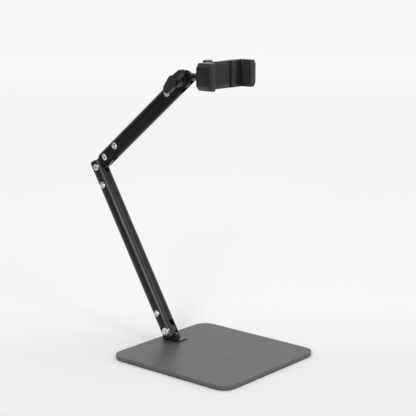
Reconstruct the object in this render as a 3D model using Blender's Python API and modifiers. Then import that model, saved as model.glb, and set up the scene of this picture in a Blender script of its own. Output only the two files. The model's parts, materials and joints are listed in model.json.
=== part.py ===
"""Overhead phone stand.

A weighted base plate carries two tube arms joined by a double elbow. A ball head at the top holds a spring
phone clamp. Metres, +Z up. The origin is the middle of the base's underside. The arms swing in the XZ
plane, and the phone faces +X.

Every group of pieces that moves hangs from an empty on its own joint's axis, so a size that changes carries
along all that is fixed beyond it.
"""

import math

import bmesh
import bpy
from mathutils import Matrix

# Clearances
GAP = 0.0003  # left between pieces that touch
SLIDE_GAP = 0.00035  # left round the sliding carriage
OVERLAP = 0.001  # by which joined shapes enter each other
OVERCUT = 0.004  # by which a cutter runs past the wall it cuts
SKIN = 0.00005  # by which a joined shape stays under the faces of the other

# Roundness of the turned pieces
TUBE_STEPS = 40
ROUND_STEPS = 24
SMALL_STEPS = 14
ARC_STEPS = 5  # straight pieces in a quarter of a flat outline's round corner

# Base
PLATE_LENGTH = 0.208
PLATE_WIDTH = 0.200
PLATE_THICKNESS = 0.005
PLATE_CORNER = 0.022
PLATE_EDGE = 0.0006
PAD_THICKNESS = 0.0015
PAD_INSET = 0.0015
FOOT_SETBACK = 0.0206  # base pivot in from the plate's rear edge

# Foot bracket, from the pivot
TONGUE_THICKNESS = 0.0054
TONGUE_RADIUS = 0.0104
FOLD_ROOM = 0.0028  # between the plate and a tube that lies level
FOOT_REAR = 0.010
FOOT_FRONT = 0.017
FOOT_REACH = 0.021  # of the foot past the arm's middle plane
FOOT_THICKNESS = 0.0016
NOSE_RISE = 0.0020  # pivot's height over the top of the tongue's nose
FOOT_CORNER = 0.004
FOOT_SCREW_OUT = 0.0158
FOOT_SCREW_RADIUS = 0.0036
FOOT_SCREW_HEAD = 0.0020
FOOT_SCREW_SHANK = 0.0016
UNDER_SCREW_SPREAD = 0.0075
UNDER_SCREW_RADIUS = 0.0030
UNDER_SCREW_SHANK = 0.0013
UNDER_SCREW_RISE = 0.006  # of the shank above the plate

# Arms
TUBE_DIAMETER = 0.0232
TUBE_WALL = 0.002
LOWER_SPAN = 0.2614  # pivot to pivot
UPPER_SPAN = 0.1895
LINK_SPAN = 0.025
END_REACH = 0.0095  # of a tube past its pivot
SLOT_WIDTH = 0.0076
SLOT_DEPTH = 0.0135  # past the pivot, into the tube
PLUG_DEPTH = 0.037  # past the pivot, into the tube
BASE_END = (0.008, 0.008)  # corners of a tube's end seen from the side: the low one, then the high one
LOWER_ELBOW_END = (0.009, 0.0045)
UPPER_ELBOW_END = (0.004, 0.007)
HEAD_END = (0.004, 0.004)

# Angles of the arms above +X, seen from -Y
LOWER_ANGLE = math.radians(121.07)
LINK_ANGLE = math.radians(43.8)
UPPER_ANGLE = math.radians(39.3)
HEAD_ANGLE = 0.0

# Pivot bolts and sleeve nuts
SEAT_DEPTH = 0.0052  # of a bolt head's seat under the tube's outside
HEAD_RADIUS = 0.0057
HEAD_HEIGHT = 0.0027
HEAD_DOME = 0.0009
COUNTERBORE_RADIUS = 0.0063
BASE_HEAD_RADIUS = 0.0066
BASE_COUNTERBORE = 0.0080
SLEEVE_RADIUS = 0.0040
BOLT_RADIUS = 0.0026
SOCKET_RADIUS = 0.0026
SOCKET_DEPTH = 0.0014

# Friction washers
WASHER_RADIUS = 0.0078
WASHER_THICKNESS = 0.0005

# Plug screws in their cup washers
SCREW_INSET = 0.029  # from the nearest pivot
SPOT_DEPTH = 0.0014  # of the flat under a cup washer, under the tube's outside
CUP_RADIUS = 0.0050
CUP_HEIGHT = 0.0013
CUP_MOUTH = 0.0037
CUP_BORE = 0.0023
SCREW_HEAD_RADIUS = 0.0032
SCREW_SHANK = 0.0019
SCREW_LENGTH = 0.0066  # of the shank under the flat
SCREW_SOCKET = 0.0014

# Head hinge and its lever
PIN_RADIUS = 0.0030
LEVER_SEAT_DEPTH = 0.0022  # of the flat under the lever, under the tube's outside
LEVER_SPOT_RADIUS = 0.0092
LEVER_WASHER_RADIUS = 0.0065
LEVER_WASHER_THICKNESS = 0.0008
LEVER_HUB_RADIUS = 0.0085
LEVER_HUB_HEIGHT = 0.0095
LEVER_TIP_SPOT = (0.0186, 0.0026)  # middle of the narrow wing's round end, from the pin
LEVER_TIP = 0.0029
LEVER_PALM_SPOT = (-0.0161, -0.0013)  # middle of the broad wing's round end
LEVER_PALM = 0.0059
LEVER_SHOULDER_SPOT = (-0.0002, 0.0073)
LEVER_SHOULDER = 0.0018
LEVER_NOTCH = (0.0050, 0.0056)
LEVER_HEEL = (-0.0011, -0.0062)
LEVER_WAIST = (0.0052, -0.0030)
LEVER_EDGE = 0.0010
LEVER_WING_ROOM = 0.0034  # between the tube's outside and the wings
LEVER_WING_DEPTH = 0.0090
PIN_GRIP = 0.0062  # of the pin inside the lever

# Knuckle and neck, from the head pivot
NECK_RISE = 0.0056
NECK_RADIUS = 0.00525
NECK_START = 0.0148
SPIGOT_RADIUS = 0.0030

# Ball head, from the ball's centre
BALL_FORWARD = 0.0423  # ball's centre ahead of the head pivot
BALL_RADIUS = 0.008
HOUSING_RADIUS = 0.0115
HOUSING_MOUTH = 0.0046
HOUSING_LIP = 0.0096
HOUSING_SHOULDER = 0.0075
HOUSING_REAR = 0.0125
HOUSING_FLOOR = 0.0088
HOUSING_TAIL_RADIUS = 0.0062
SEAT_FRONT = 0.0058
SEAT_RADIUS = 0.0061
SEAT_BORE = 0.002
BOSS_RADIUS = 0.0048
BOSS_TOP = 0.0128
LOCK_SCREW_RADIUS = 0.0026
PRESSURE_PAD_LENGTH = 0.0025
KNOB_START = 0.0140
KNOB_HEIGHT = 0.0098
KNOB_RADIUS = 0.0070
KNOB_FLUTES = 16
KNOB_FLUTE_DEPTH = 0.0006
KNOB_EDGE = 0.0007
LOCK_SCREW_GRIP = 0.006
STUD_NECK_RADIUS = 0.0026
COLLAR_RADIUS = 0.0070
COLLAR_THICKNESS = 0.0022
STUD_RADIUS = 0.003175
STUD_LENGTH = 0.0055

# Phone clamp, from the middle of its rear face
CLAMP_FORWARD = 0.0632  # rear face ahead of the head pivot
CLAMP_RISE = 0.0062  # of the clamp's middle over the stud's axis
CLAMP_HEIGHT = 0.0361
CLAMP_BACK = 0.0087  # rear face to the phone's back
CLAMP_LIP = 0.0142  # of the jaws past the phone's back
CLAMP_OPENING = 0.070
JAW_THICKNESS = 0.0135
JAW_CHAMFER = 0.0062  # of the cut corners, up and down
JAW_CHAMFER_WIDTH = 0.0046
JAW_EDGE = 0.0018
BODY_END = 0.0135  # body's open end, from the clamp's middle
COVER_THICKNESS = 0.0018
COVER_INSET = 0.0003
FRONT_WALL = 0.0014
SIDE_WALL = 0.0046
CAVITY_END = 0.002  # from the fixed jaw's inner face
CARRIAGE_END = 0.0300
SPRING_ROOM = 0.0052
SPRING_SPREAD = 0.0085
SPRING_SLOT = 0.018  # length of the carriage's spring slots
SPRING_RADIUS = 0.0017
SPRING_WIRE = 0.0003
SPRING_TURNS = 11
PEG_RADIUS = 0.0008
PEG_LENGTH = 0.003
JAW_PAD_THICKNESS = 0.0009
JAW_PAD_INSET = 0.0035
BACK_PAD_THICKNESS = 0.0010
BACK_PAD_INSET = 0.0045
MOUNT_BOSS_RADIUS = 0.0080
MOUNT_BOSS_HEIGHT = 0.0040
NUT_RADIUS = 0.0050
NUT_FLOOR = 0.0013
COVER_SCREW_INSET = 0.0027
COVER_SCREW_RADIUS = 0.0014
COVER_SCREW_SHANK = 0.0008
COVER_SCREW_LENGTH = 0.0045
COVER_SCREW_NEAR = -0.0385
COVER_SCREW_FAR = 0.0095

# Worked out from the sizes above
TUBE_RADIUS = TUBE_DIAMETER / 2
PIVOT_HEIGHT = TUBE_RADIUS + FOLD_ROOM  # above the plate
SEAT_HEIGHT = TUBE_RADIUS - SEAT_DEPTH  # this and the next are from the arm's middle plane
SPOT_HEIGHT = TUBE_RADIUS - SPOT_DEPTH
SCREW_DEPTH = SPOT_HEIGHT - SCREW_LENGTH
LEVER_SEAT = TUBE_RADIUS - LEVER_SEAT_DEPTH
LEVER_START = LEVER_SEAT + 2 * GAP + LEVER_WASHER_THICKNESS
LEVER_WING_START = TUBE_RADIUS + LEVER_WING_ROOM
PIN_END = LEVER_START + PIN_GRIP
PLUG_RADIUS = TUBE_RADIUS - TUBE_WALL - GAP
PLATE_BOTTOM = PAD_THICKNESS + GAP
PLATE_TOP = PLATE_BOTTOM + PLATE_THICKNESS
PIVOT_Z = PLATE_TOP + PIVOT_HEIGHT
PIVOT_X = FOOT_SETBACK - PLATE_LENGTH / 2
FOOT_BOTTOM = PLATE_TOP + GAP - PIVOT_Z
FOOT_TOP = FOOT_BOTTOM + FOOT_THICKNESS
SLEEVE_BORE = SLEEVE_RADIUS + GAP
PIN_BORE = PIN_RADIUS + GAP
SOCKET_SPHERE = BALL_RADIUS + GAP
CLAMP_TOP = CLAMP_HEIGHT / 2
JAW_TIP = CLAMP_BACK + CLAMP_LIP
JAW_INNER = CLAMP_OPENING / 2
JAW_FACE = JAW_INNER + JAW_PAD_THICKNESS + GAP  # the jaw's own face, behind its pad
JAW_OUTER = JAW_INNER + JAW_THICKNESS
BODY_FRONT = CLAMP_BACK - BACK_PAD_THICKNESS - GAP
BODY_REAR = COVER_THICKNESS + GAP
CAVITY_TOP = CLAMP_TOP - SIDE_WALL
CAVITY_FRONT = BODY_FRONT - FRONT_WALL
CARRIAGE_REAR = COVER_THICKNESS + SLIDE_GAP
CARRIAGE_FRONT = CAVITY_FRONT - SLIDE_GAP
CARRIAGE_TOP = CAVITY_TOP - SLIDE_GAP
SPRING_DEPTH = (CARRIAGE_REAR + CARRIAGE_FRONT) / 2
CAVITY_REAR_Y = -JAW_FACE + CAVITY_END

TOWARDS_NEAR = (math.pi / 2, 0, 0)  # turns a piece's +Z to -Y
TOWARDS_FAR = (-math.pi / 2, 0, 0)  # turns a piece's +Z to +Y
FORWARD = (0, math.pi / 2, 0)  # turns a piece's +Z to +X
UPRIGHT = (0, 0, 0)


# Scene, materials and placing


def clear_scene():
    """Removes every object of the scene."""
    for obj in list(bpy.data.objects):
        bpy.data.objects.remove(obj, do_unlink=True)


def new_collection(name):
    """Adds a collection to the scene and returns it."""
    collection = bpy.data.collections.new(name)
    bpy.context.scene.collection.children.link(collection)
    return collection


def finish(name, color, metallic, roughness):
    """A material with one plain surface."""
    material = bpy.data.materials.new(name)
    material.use_nodes = True
    surface = material.node_tree.nodes["Principled BSDF"]
    surface.inputs["Base Color"].default_value = (*color, 1.0)
    surface.inputs["Metallic"].default_value = metallic
    surface.inputs["Roughness"].default_value = roughness
    return material


def pivot_empty(name, parent, location, turn=0.0):
    """An empty on a joint's axis. turn is the angle that its +X is raised by, over its parent's."""
    empty = bpy.data.objects.new(name, None)
    empty.empty_display_size = 0.01
    PARTS.objects.link(empty)
    empty.parent = parent
    empty.location = location
    empty.rotation_euler = (0, -turn, 0)
    return empty


def place(obj, parent, location=(0, 0, 0), rotation=UPRIGHT):
    """Hangs obj from its parent."""
    obj.parent = parent
    obj.location = location
    obj.rotation_euler = rotation
    return obj


def as_part(obj, material):
    """Puts obj among the parts with its material."""
    for collection in list(obj.users_collection):
        collection.objects.unlink(obj)
    PARTS.objects.link(obj)
    obj.data.materials.clear()
    obj.data.materials.append(material)
    obj.data.shade_smooth()
    obj.data.set_sharp_from_angle(angle=math.radians(32))
    return obj


def as_cutter(obj):
    """Puts obj among the cutters, out of the render."""
    for collection in list(obj.users_collection):
        collection.objects.unlink(obj)
    CUTTERS.objects.link(obj)
    obj.hide_render = True
    obj.display_type = "WIRE"
    return obj


# Shapes


def mesh_object(name, shape):
    """An object of a bmesh, which is freed."""
    mesh = bpy.data.meshes.new(name)
    shape.to_mesh(mesh)
    shape.free()
    obj = bpy.data.objects.new(name, mesh)
    bpy.context.scene.collection.objects.link(obj)
    return obj


def box(name, low, high):
    """A box between two corners."""
    shape = bmesh.new()
    bmesh.ops.create_cube(shape, size=1.0)
    size = [b - a for a, b in zip(low, high)]
    middle = [(a + b) / 2 for a, b in zip(low, high)]
    bmesh.ops.scale(shape, vec=size, verts=shape.verts)
    bmesh.ops.translate(shape, vec=middle, verts=shape.verts)
    return mesh_object(name, shape)


def rod(name, radius, low, high, steps=ROUND_STEPS):
    """A cylinder on +Z, from low to high. Six steps make a hexagon."""
    shape = bmesh.new()
    bmesh.ops.create_cone(
        shape, cap_ends=True, segments=steps, radius1=radius, radius2=radius, depth=high - low
    )
    bmesh.ops.translate(shape, vec=(0, 0, (low + high) / 2), verts=shape.verts)
    return mesh_object(name, shape)


def turned(name, profile, steps=ROUND_STEPS):
    """A piece turned about +Z. profile is (radius, height) points, from the top down the outer side; a profile
    that ends off the axis closes on its first point, which leaves a bore."""
    shape = bmesh.new()
    points = [shape.verts.new((radius, 0, height)) for radius, height in profile]
    for start, end in zip(points, points[1:]):
        shape.edges.new((start, end))
    if profile[-1][0] > 0:
        shape.edges.new((points[-1], points[0]))
    obj = mesh_object(name, shape)
    screw = obj.modifiers.new("turn", "SCREW")
    screw.steps = steps
    screw.render_steps = steps
    screw.use_merge_vertices = True
    screw.merge_threshold = 0.00001
    return obj


def arc(centre, radius, start, end, steps):
    """Points round a centre from one angle to another, in degrees."""
    angles = [math.radians(start + (end - start) * i / steps) for i in range(steps + 1)]
    return [(centre[0] + radius * math.cos(a), centre[1] + radius * math.sin(a)) for a in angles]


def rounded_box_outline(low, high, radii):
    """A box outline with a radius for each corner: low-low, high-low, high-high, low-high."""
    corners = [
        (low[0], low[1], 1, 1, 180),
        (high[0], low[1], -1, 1, 270),
        (high[0], high[1], -1, -1, 0),
        (low[0], high[1], 1, -1, 90),
    ]
    points = []
    for (x, y, inward_x, inward_y, start), radius in zip(corners, radii):
        centre = (x + inward_x * radius, y + inward_y * radius)
        points += arc(centre, radius, start, start + 90, ARC_STEPS)
    return points


def flat_solid(name, outline, low, high):
    """An outline in the XY plane, as a solid from low to high."""
    curve = bpy.data.curves.new(name, "CURVE")
    curve.dimensions = "2D"
    curve.fill_mode = "BOTH"
    curve.extrude = (high - low) / 2
    spline = curve.splines.new("POLY")
    spline.points.add(len(outline) - 1)
    for point, (x, y) in zip(spline.points, outline):
        point.co = (x, y, 0, 1)
    spline.use_cyclic_u = True
    drawn = bpy.data.objects.new(name, curve)
    bpy.context.scene.collection.objects.link(drawn)
    graph = bpy.context.evaluated_depsgraph_get()
    mesh = bpy.data.meshes.new_from_object(drawn.evaluated_get(graph))
    bpy.data.objects.remove(drawn, do_unlink=True)
    shape = bmesh.new()
    shape.from_mesh(mesh)
    bpy.data.meshes.remove(mesh)
    bmesh.ops.remove_doubles(shape, verts=shape.verts, dist=0.000001)
    bmesh.ops.translate(shape, vec=(0, 0, (low + high) / 2), verts=shape.verts)
    bmesh.ops.recalc_face_normals(shape, faces=shape.faces)
    return mesh_object(name, shape)


def side_solid(name, outline, half_width, offset=0.0):
    """An outline in the XZ plane, as a solid across Y. offset moves it towards -Y."""
    obj = flat_solid(name, outline, offset - half_width, offset + half_width)
    obj.data.transform(Matrix.Rotation(math.pi / 2, 4, "X"))
    return obj


def combine(obj, other, operation):
    """Adds a Boolean of obj with the shape other, which becomes a cutter."""
    as_cutter(other)
    modifier = obj.modifiers.new(other.name, "BOOLEAN")
    modifier.operation = operation
    modifier.solver = "EXACT"
    modifier.object = other


def cut(obj, *others):
    """Cuts each of the others from obj."""
    for other in others:
        combine(obj, other, "DIFFERENCE")


def join(obj, *others):
    """Joins each of the others to obj."""
    for other in others:
        combine(obj, other, "UNION")


def soften(obj, width, segments=1):
    """Bevels the sharp edges of obj."""
    bevel = obj.modifiers.new("edges", "BEVEL")
    bevel.width = width
    bevel.segments = segments
    bevel.limit_method = "ANGLE"
    bevel.angle_limit = math.radians(40)


# Fasteners


def socket(name, radius, depth, top):
    """A hexagonal recess in a face at the height top."""
    return rod(name, radius, top - depth, top + OVERCUT, steps=6)


def pivot_bolt(name, parent, location, head_radius=HEAD_RADIUS):
    """The near half of a hinge pin: a low head with a hexagon recess, and its shank."""
    seat = SEAT_HEIGHT + GAP
    top = seat + HEAD_HEIGHT
    profile = [
        (0, top),
        (head_radius - 2 * HEAD_DOME, top),
        (head_radius - HEAD_DOME / 2, top - HEAD_DOME / 2),
        (head_radius, top - HEAD_DOME * 1.5),
        (head_radius, seat),
        (BOLT_RADIUS, seat),
        (BOLT_RADIUS, -SEAT_HEIGHT + OVERLAP),
        (0, -SEAT_HEIGHT + OVERLAP),
    ]
    bolt = as_part(turned(name, profile), NICKEL)
    place(bolt, parent, location, TOWARDS_NEAR)
    recess = socket(name + "_socket", SOCKET_RADIUS, SOCKET_DEPTH, top)
    place(recess, parent, location, TOWARDS_NEAR)
    cut(bolt, recess)
    return bolt


def sleeve_nut(name, parent, location, head_radius=HEAD_RADIUS):
    """The far half of a hinge pin: a flat head on a sleeve that the arms turn on."""
    seat = SEAT_HEIGHT + GAP
    top = seat + HEAD_HEIGHT
    bore = BOLT_RADIUS + GAP
    profile = [
        (0, top),
        (head_radius - HEAD_DOME, top),
        (head_radius, top - HEAD_DOME),
        (head_radius, seat),
        (SLEEVE_RADIUS, seat),
        (SLEEVE_RADIUS, -SEAT_HEIGHT),
        (bore, -SEAT_HEIGHT),
        (bore, SEAT_HEIGHT - OVERLAP + GAP),
        (0, SEAT_HEIGHT - OVERLAP + GAP),
    ]
    nut = as_part(turned(name, profile), NICKEL)
    place(nut, parent, location, TOWARDS_FAR)
    recess = socket(name + "_socket", SOCKET_RADIUS, SOCKET_DEPTH, top)
    place(recess, parent, location, TOWARDS_FAR)
    cut(nut, recess)
    return nut


def friction_washers(name, parent, location, bore):
    """The two plastic washers between a tongue and the arm's ears."""
    inner = TONGUE_THICKNESS / 2 + GAP
    outer = inner + WASHER_THICKNESS
    for side, rotation in (("near", TOWARDS_NEAR), ("far", TOWARDS_FAR)):
        profile = [(WASHER_RADIUS, outer), (WASHER_RADIUS, inner), (bore, inner), (bore, outer)]
        washer = as_part(turned(f"{name}_washer_{side}", profile), NYLON)
        place(washer, parent, location, rotation)


def plug_screw(name, parent, location):
    """A small screw in a cup washer on the near side of a tube."""
    base = SPOT_HEIGHT + GAP
    rim = base + CUP_HEIGHT
    throat = base + CUP_HEIGHT * 0.2
    cup = [
        (CUP_MOUTH + 0.0004, rim),
        (CUP_RADIUS, base + CUP_HEIGHT * 0.4),
        (CUP_RADIUS, base),
        (CUP_BORE, base),
        (CUP_BORE, throat),
        (CUP_MOUTH, rim - 0.0002),
    ]
    washer = as_part(turned(name + "_cup", cup, SMALL_STEPS), NICKEL)
    place(washer, parent, location, TOWARDS_NEAR)
    top = rim + 0.0001
    edge = base + CUP_HEIGHT * 0.75
    screw_profile = [
        (0, top),
        (SCREW_HEAD_RADIUS * 0.75, top - 0.0001),
        (SCREW_HEAD_RADIUS, edge),
        (SCREW_SHANK, throat),
        (SCREW_SHANK, SCREW_DEPTH),
        (0, SCREW_DEPTH),
    ]
    screw = as_part(turned(name, screw_profile, SMALL_STEPS), NICKEL)
    place(screw, parent, location, TOWARDS_NEAR)
    recess = socket(name + "_socket", SCREW_SOCKET, SOCKET_DEPTH / 2, top)
    place(recess, parent, location, TOWARDS_NEAR)
    cut(screw, recess)


# Base


def build_base():
    """Plate, pad, bracket and their screws. Returns the empty on the base pivot."""
    half_length = PLATE_LENGTH / 2
    half_width = PLATE_WIDTH / 2
    pivot = pivot_empty("base_pivot", None, (PIVOT_X, 0, PIVOT_Z))

    outline = rounded_box_outline((-half_length, -half_width), (half_length, half_width), [PLATE_CORNER] * 4)
    plate = as_part(flat_solid("base_plate", outline, PLATE_BOTTOM, PLATE_TOP), BLACK_STEEL)
    soften(plate, PLATE_EDGE, 2)
    length = half_length - PAD_INSET
    width = half_width - PAD_INSET
    outline = rounded_box_outline((-length, -width), (length, width), [PLATE_CORNER - PAD_INSET] * 4)
    as_part(flat_solid("base_pad", outline, 0, PAD_THICKNESS), RUBBER)

    tongue = TONGUE_THICKNESS / 2
    profile = arc((0, 0), TONGUE_RADIUS, 0, 180, 4 * ARC_STEPS)
    profile += [(-TONGUE_RADIUS, FOOT_BOTTOM), (FOOT_FRONT, FOOT_BOTTOM), (FOOT_FRONT, -NOSE_RISE)]
    bracket = as_part(side_solid("foot_bracket", profile, tongue), BLACK_SATIN)
    place(bracket, pivot)
    corners = [OVERLAP, OVERLAP, FOOT_CORNER, FOOT_CORNER]
    outline = rounded_box_outline((-FOOT_REAR, -tongue), (FOOT_FRONT, FOOT_REACH), corners)
    join(bracket, place(flat_solid("foot", outline, FOOT_BOTTOM, FOOT_TOP), pivot))
    hole = rod("bracket_pivot_hole", SLEEVE_BORE, -TUBE_RADIUS, TUBE_RADIUS)
    cut(bracket, place(hole, pivot, (0, 0, 0), TOWARDS_NEAR))

    # The foot's screw enters the plate from above
    middle = (FOOT_FRONT - FOOT_REAR) / 2
    spot = (middle, FOOT_SCREW_OUT, FOOT_TOP)
    depth = FOOT_THICKNESS + PLATE_THICKNESS * 0.7
    head = [
        (0, GAP + FOOT_SCREW_HEAD),
        (FOOT_SCREW_RADIUS * 0.6, GAP + FOOT_SCREW_HEAD * 0.92),
        (FOOT_SCREW_RADIUS * 0.9, GAP + FOOT_SCREW_HEAD * 0.6),
        (FOOT_SCREW_RADIUS, GAP),
        (FOOT_SCREW_SHANK, GAP),
        (FOOT_SCREW_SHANK, -depth),
        (0, -depth),
    ]
    screw = place(as_part(turned("foot_screw", head, SMALL_STEPS), BLACK_SATIN), pivot, spot)
    recess = socket("foot_screw_socket", SCREW_SOCKET, SOCKET_DEPTH / 2, GAP + FOOT_SCREW_HEAD)
    cut(screw, place(recess, pivot, spot))
    hole = rod("foot_screw_hole", FOOT_SCREW_SHANK + GAP, -depth - GAP, OVERCUT, SMALL_STEPS)
    place(hole, pivot, spot)
    cut(bracket, hole)
    cut(plate, hole)

    # Two countersunk screws rise through the plate into the tongue
    bottom = PLATE_BOTTOM - PIVOT_Z
    shank_top = PLATE_THICKNESS + UNDER_SCREW_RISE
    cone = UNDER_SCREW_RADIUS - UNDER_SCREW_SHANK
    for name, side in (("under_screw_rear", -1), ("under_screw_front", 1)):
        spot = (side * UNDER_SCREW_SPREAD, 0, bottom)
        profile = [
            (0, shank_top),
            (UNDER_SCREW_SHANK, shank_top),
            (UNDER_SCREW_SHANK, GAP + cone),
            (UNDER_SCREW_RADIUS, GAP),
            (0, GAP),
        ]
        place(as_part(turned(name, profile, SMALL_STEPS), NICKEL), pivot, spot)
        bore = UNDER_SCREW_SHANK + GAP
        wide = UNDER_SCREW_RADIUS + GAP
        profile = [
            (0, shank_top + GAP),
            (bore, shank_top + GAP),
            (bore, GAP + cone),
            (wide, GAP),
            (wide, -OVERCUT / 4),
            (0, -OVERCUT / 4),
        ]
        hole = place(turned(name + "_hole", profile, SMALL_STEPS), pivot, spot)
        cut(plate, hole)
        cut(bracket, hole)

    pivot_bolt("base_bolt", pivot, (0, 0, 0), BASE_HEAD_RADIUS)
    sleeve_nut("base_nut", pivot, (0, 0, 0), BASE_HEAD_RADIUS)
    return pivot


# Arms


def build_arm(name, parent, span, near_corners, far_corners):
    """A tube with a fork plug, a plug screw and its cup washer at each end. near_corners and far_corners are
    the radii of the two ends' corners, seen from the side. Returns the tube and its plugs."""
    side = TUBE_RADIUS + OVERLAP / 4
    low = (-END_REACH, -side)
    high = (span + END_REACH, side)
    corners = [near_corners[0], far_corners[0], far_corners[1], near_corners[1]]
    outline = rounded_box_outline(low, high, corners)
    tube = as_part(side_solid(name + "_tube", outline, TUBE_DIAMETER), BLACK_ANODISED)
    place(tube, parent)
    round_shape = rod(name + "_round", TUBE_RADIUS, -TUBE_DIAMETER, span + TUBE_DIAMETER, TUBE_STEPS)
    combine(tube, place(round_shape, parent, (0, 0, 0), FORWARD), "INTERSECT")
    past = 2 * TUBE_DIAMETER
    bore = rod(name + "_bore", TUBE_RADIUS - TUBE_WALL, -past, span + past, TUBE_STEPS)
    cut(tube, place(bore, parent, (0, 0, 0), FORWARD))
    plugs = []
    for end, pivot_x, inward in (("near", 0, 1), ("far", span, -1)):
        lowest, highest = sorted((pivot_x - inward * END_REACH, pivot_x + inward * PLUG_DEPTH))
        if inward > 0:
            corners = [near_corners[0], OVERLAP, OVERLAP, near_corners[1]]
        else:
            corners = [OVERLAP, far_corners[0], far_corners[1], OVERLAP]
        outline = rounded_box_outline((lowest, -side), (highest, side), corners)
        plug = as_part(side_solid(f"{name}_plug_{end}", outline, TUBE_DIAMETER), BLACK_ANODISED)
        place(plug, parent)
        shape = rod(f"{name}_plug_{end}_round", PLUG_RADIUS, lowest - OVERCUT, highest + OVERCUT, TUBE_STEPS)
        combine(plug, place(shape, parent, (0, 0, 0), FORWARD), "INTERSECT")
        slot_end = pivot_x + inward * SLOT_DEPTH
        outer = pivot_x - inward * (END_REACH + OVERCUT)
        half = SLOT_WIDTH / 2
        lowest, highest = sorted((slot_end, outer))
        slot = box(f"{name}_slot_{end}", (lowest, -half, -TUBE_DIAMETER), (highest, half, TUBE_DIAMETER))
        place(slot, parent)
        cut(tube, slot)
        cut(plug, slot)
        screw_spot = (pivot_x + inward * SCREW_INSET, 0, 0)
        flat = rod(f"{name}_flat_{end}", CUP_RADIUS + GAP, SPOT_HEIGHT, TUBE_DIAMETER, SMALL_STEPS)
        label = f"{name}_screw_hole_{end}"
        hole = rod(label, SCREW_SHANK + GAP, SCREW_DEPTH - GAP, TUBE_DIAMETER, SMALL_STEPS)
        for cutter in (flat, hole):
            place(cutter, parent, screw_spot, TOWARDS_NEAR)
        cut(tube, flat, hole)
        cut(plug, hole)
        plug_screw(f"{name}_screw_{end}", parent, screw_spot)
        plugs.append(plug)
    return tube, plugs[0], plugs[1]


def bore_for_bolt(tube, plug, name, parent, pivot_x, seat_radius=COUNTERBORE_RADIUS):
    """The cross hole of a sleeve nut through a fork, with a counterbore on each side."""
    spot = (pivot_x, 0, 0)
    hole = rod(name + "_hole", SLEEVE_BORE, -TUBE_DIAMETER, TUBE_DIAMETER)
    near = rod(name + "_counterbore_near", seat_radius, SEAT_HEIGHT, TUBE_DIAMETER)
    far = rod(name + "_counterbore_far", seat_radius, -TUBE_DIAMETER, -SEAT_HEIGHT)
    for cutter in (hole, near, far):
        place(cutter, parent, spot, TOWARDS_NEAR)
    cut(plug, hole, near, far)
    cut(tube, near, far)


def build_lower_arm(base_pivot):
    """The lower arm. Returns the empty on the elbow's lower pivot, which carries the link."""
    arm = pivot_empty("lower_arm", base_pivot, (0, 0, 0), LOWER_ANGLE)
    tube, near_plug, far_plug = build_arm("lower", arm, LOWER_SPAN, BASE_END, LOWER_ELBOW_END)
    bore_for_bolt(tube, near_plug, "base_fork", arm, 0, BASE_COUNTERBORE)
    bore_for_bolt(tube, far_plug, "elbow_lower_fork", arm, LOWER_SPAN)
    friction_washers("base", arm, (0, 0, 0), SLEEVE_BORE)
    friction_washers("elbow_lower", arm, (LOWER_SPAN, 0, 0), SLEEVE_BORE)
    return pivot_empty("elbow_lower_pivot", arm, (LOWER_SPAN, 0, 0), LINK_ANGLE - LOWER_ANGLE)


def build_elbow(link):
    """The link and the two pins that it holds. Returns the empty on its upper pivot."""
    outline = arc((0, 0), TONGUE_RADIUS, 90, 270, 4 * ARC_STEPS)
    outline += arc((LINK_SPAN, 0), TONGUE_RADIUS, -90, 90, 4 * ARC_STEPS)
    plate = as_part(side_solid("elbow_link", outline, TONGUE_THICKNESS / 2), BLACK_SATIN)
    place(plate, link)
    for name, x in (("elbow_lower", 0), ("elbow_upper", LINK_SPAN)):
        hole = rod(name + "_link_hole", SLEEVE_BORE, -TUBE_RADIUS, TUBE_RADIUS)
        cut(plate, place(hole, link, (x, 0, 0), TOWARDS_NEAR))
        pivot_bolt(name + "_bolt", link, (x, 0, 0))
        sleeve_nut(name + "_nut", link, (x, 0, 0))
    return pivot_empty("elbow_upper_pivot", link, (LINK_SPAN, 0, 0), UPPER_ANGLE - LINK_ANGLE)


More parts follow.
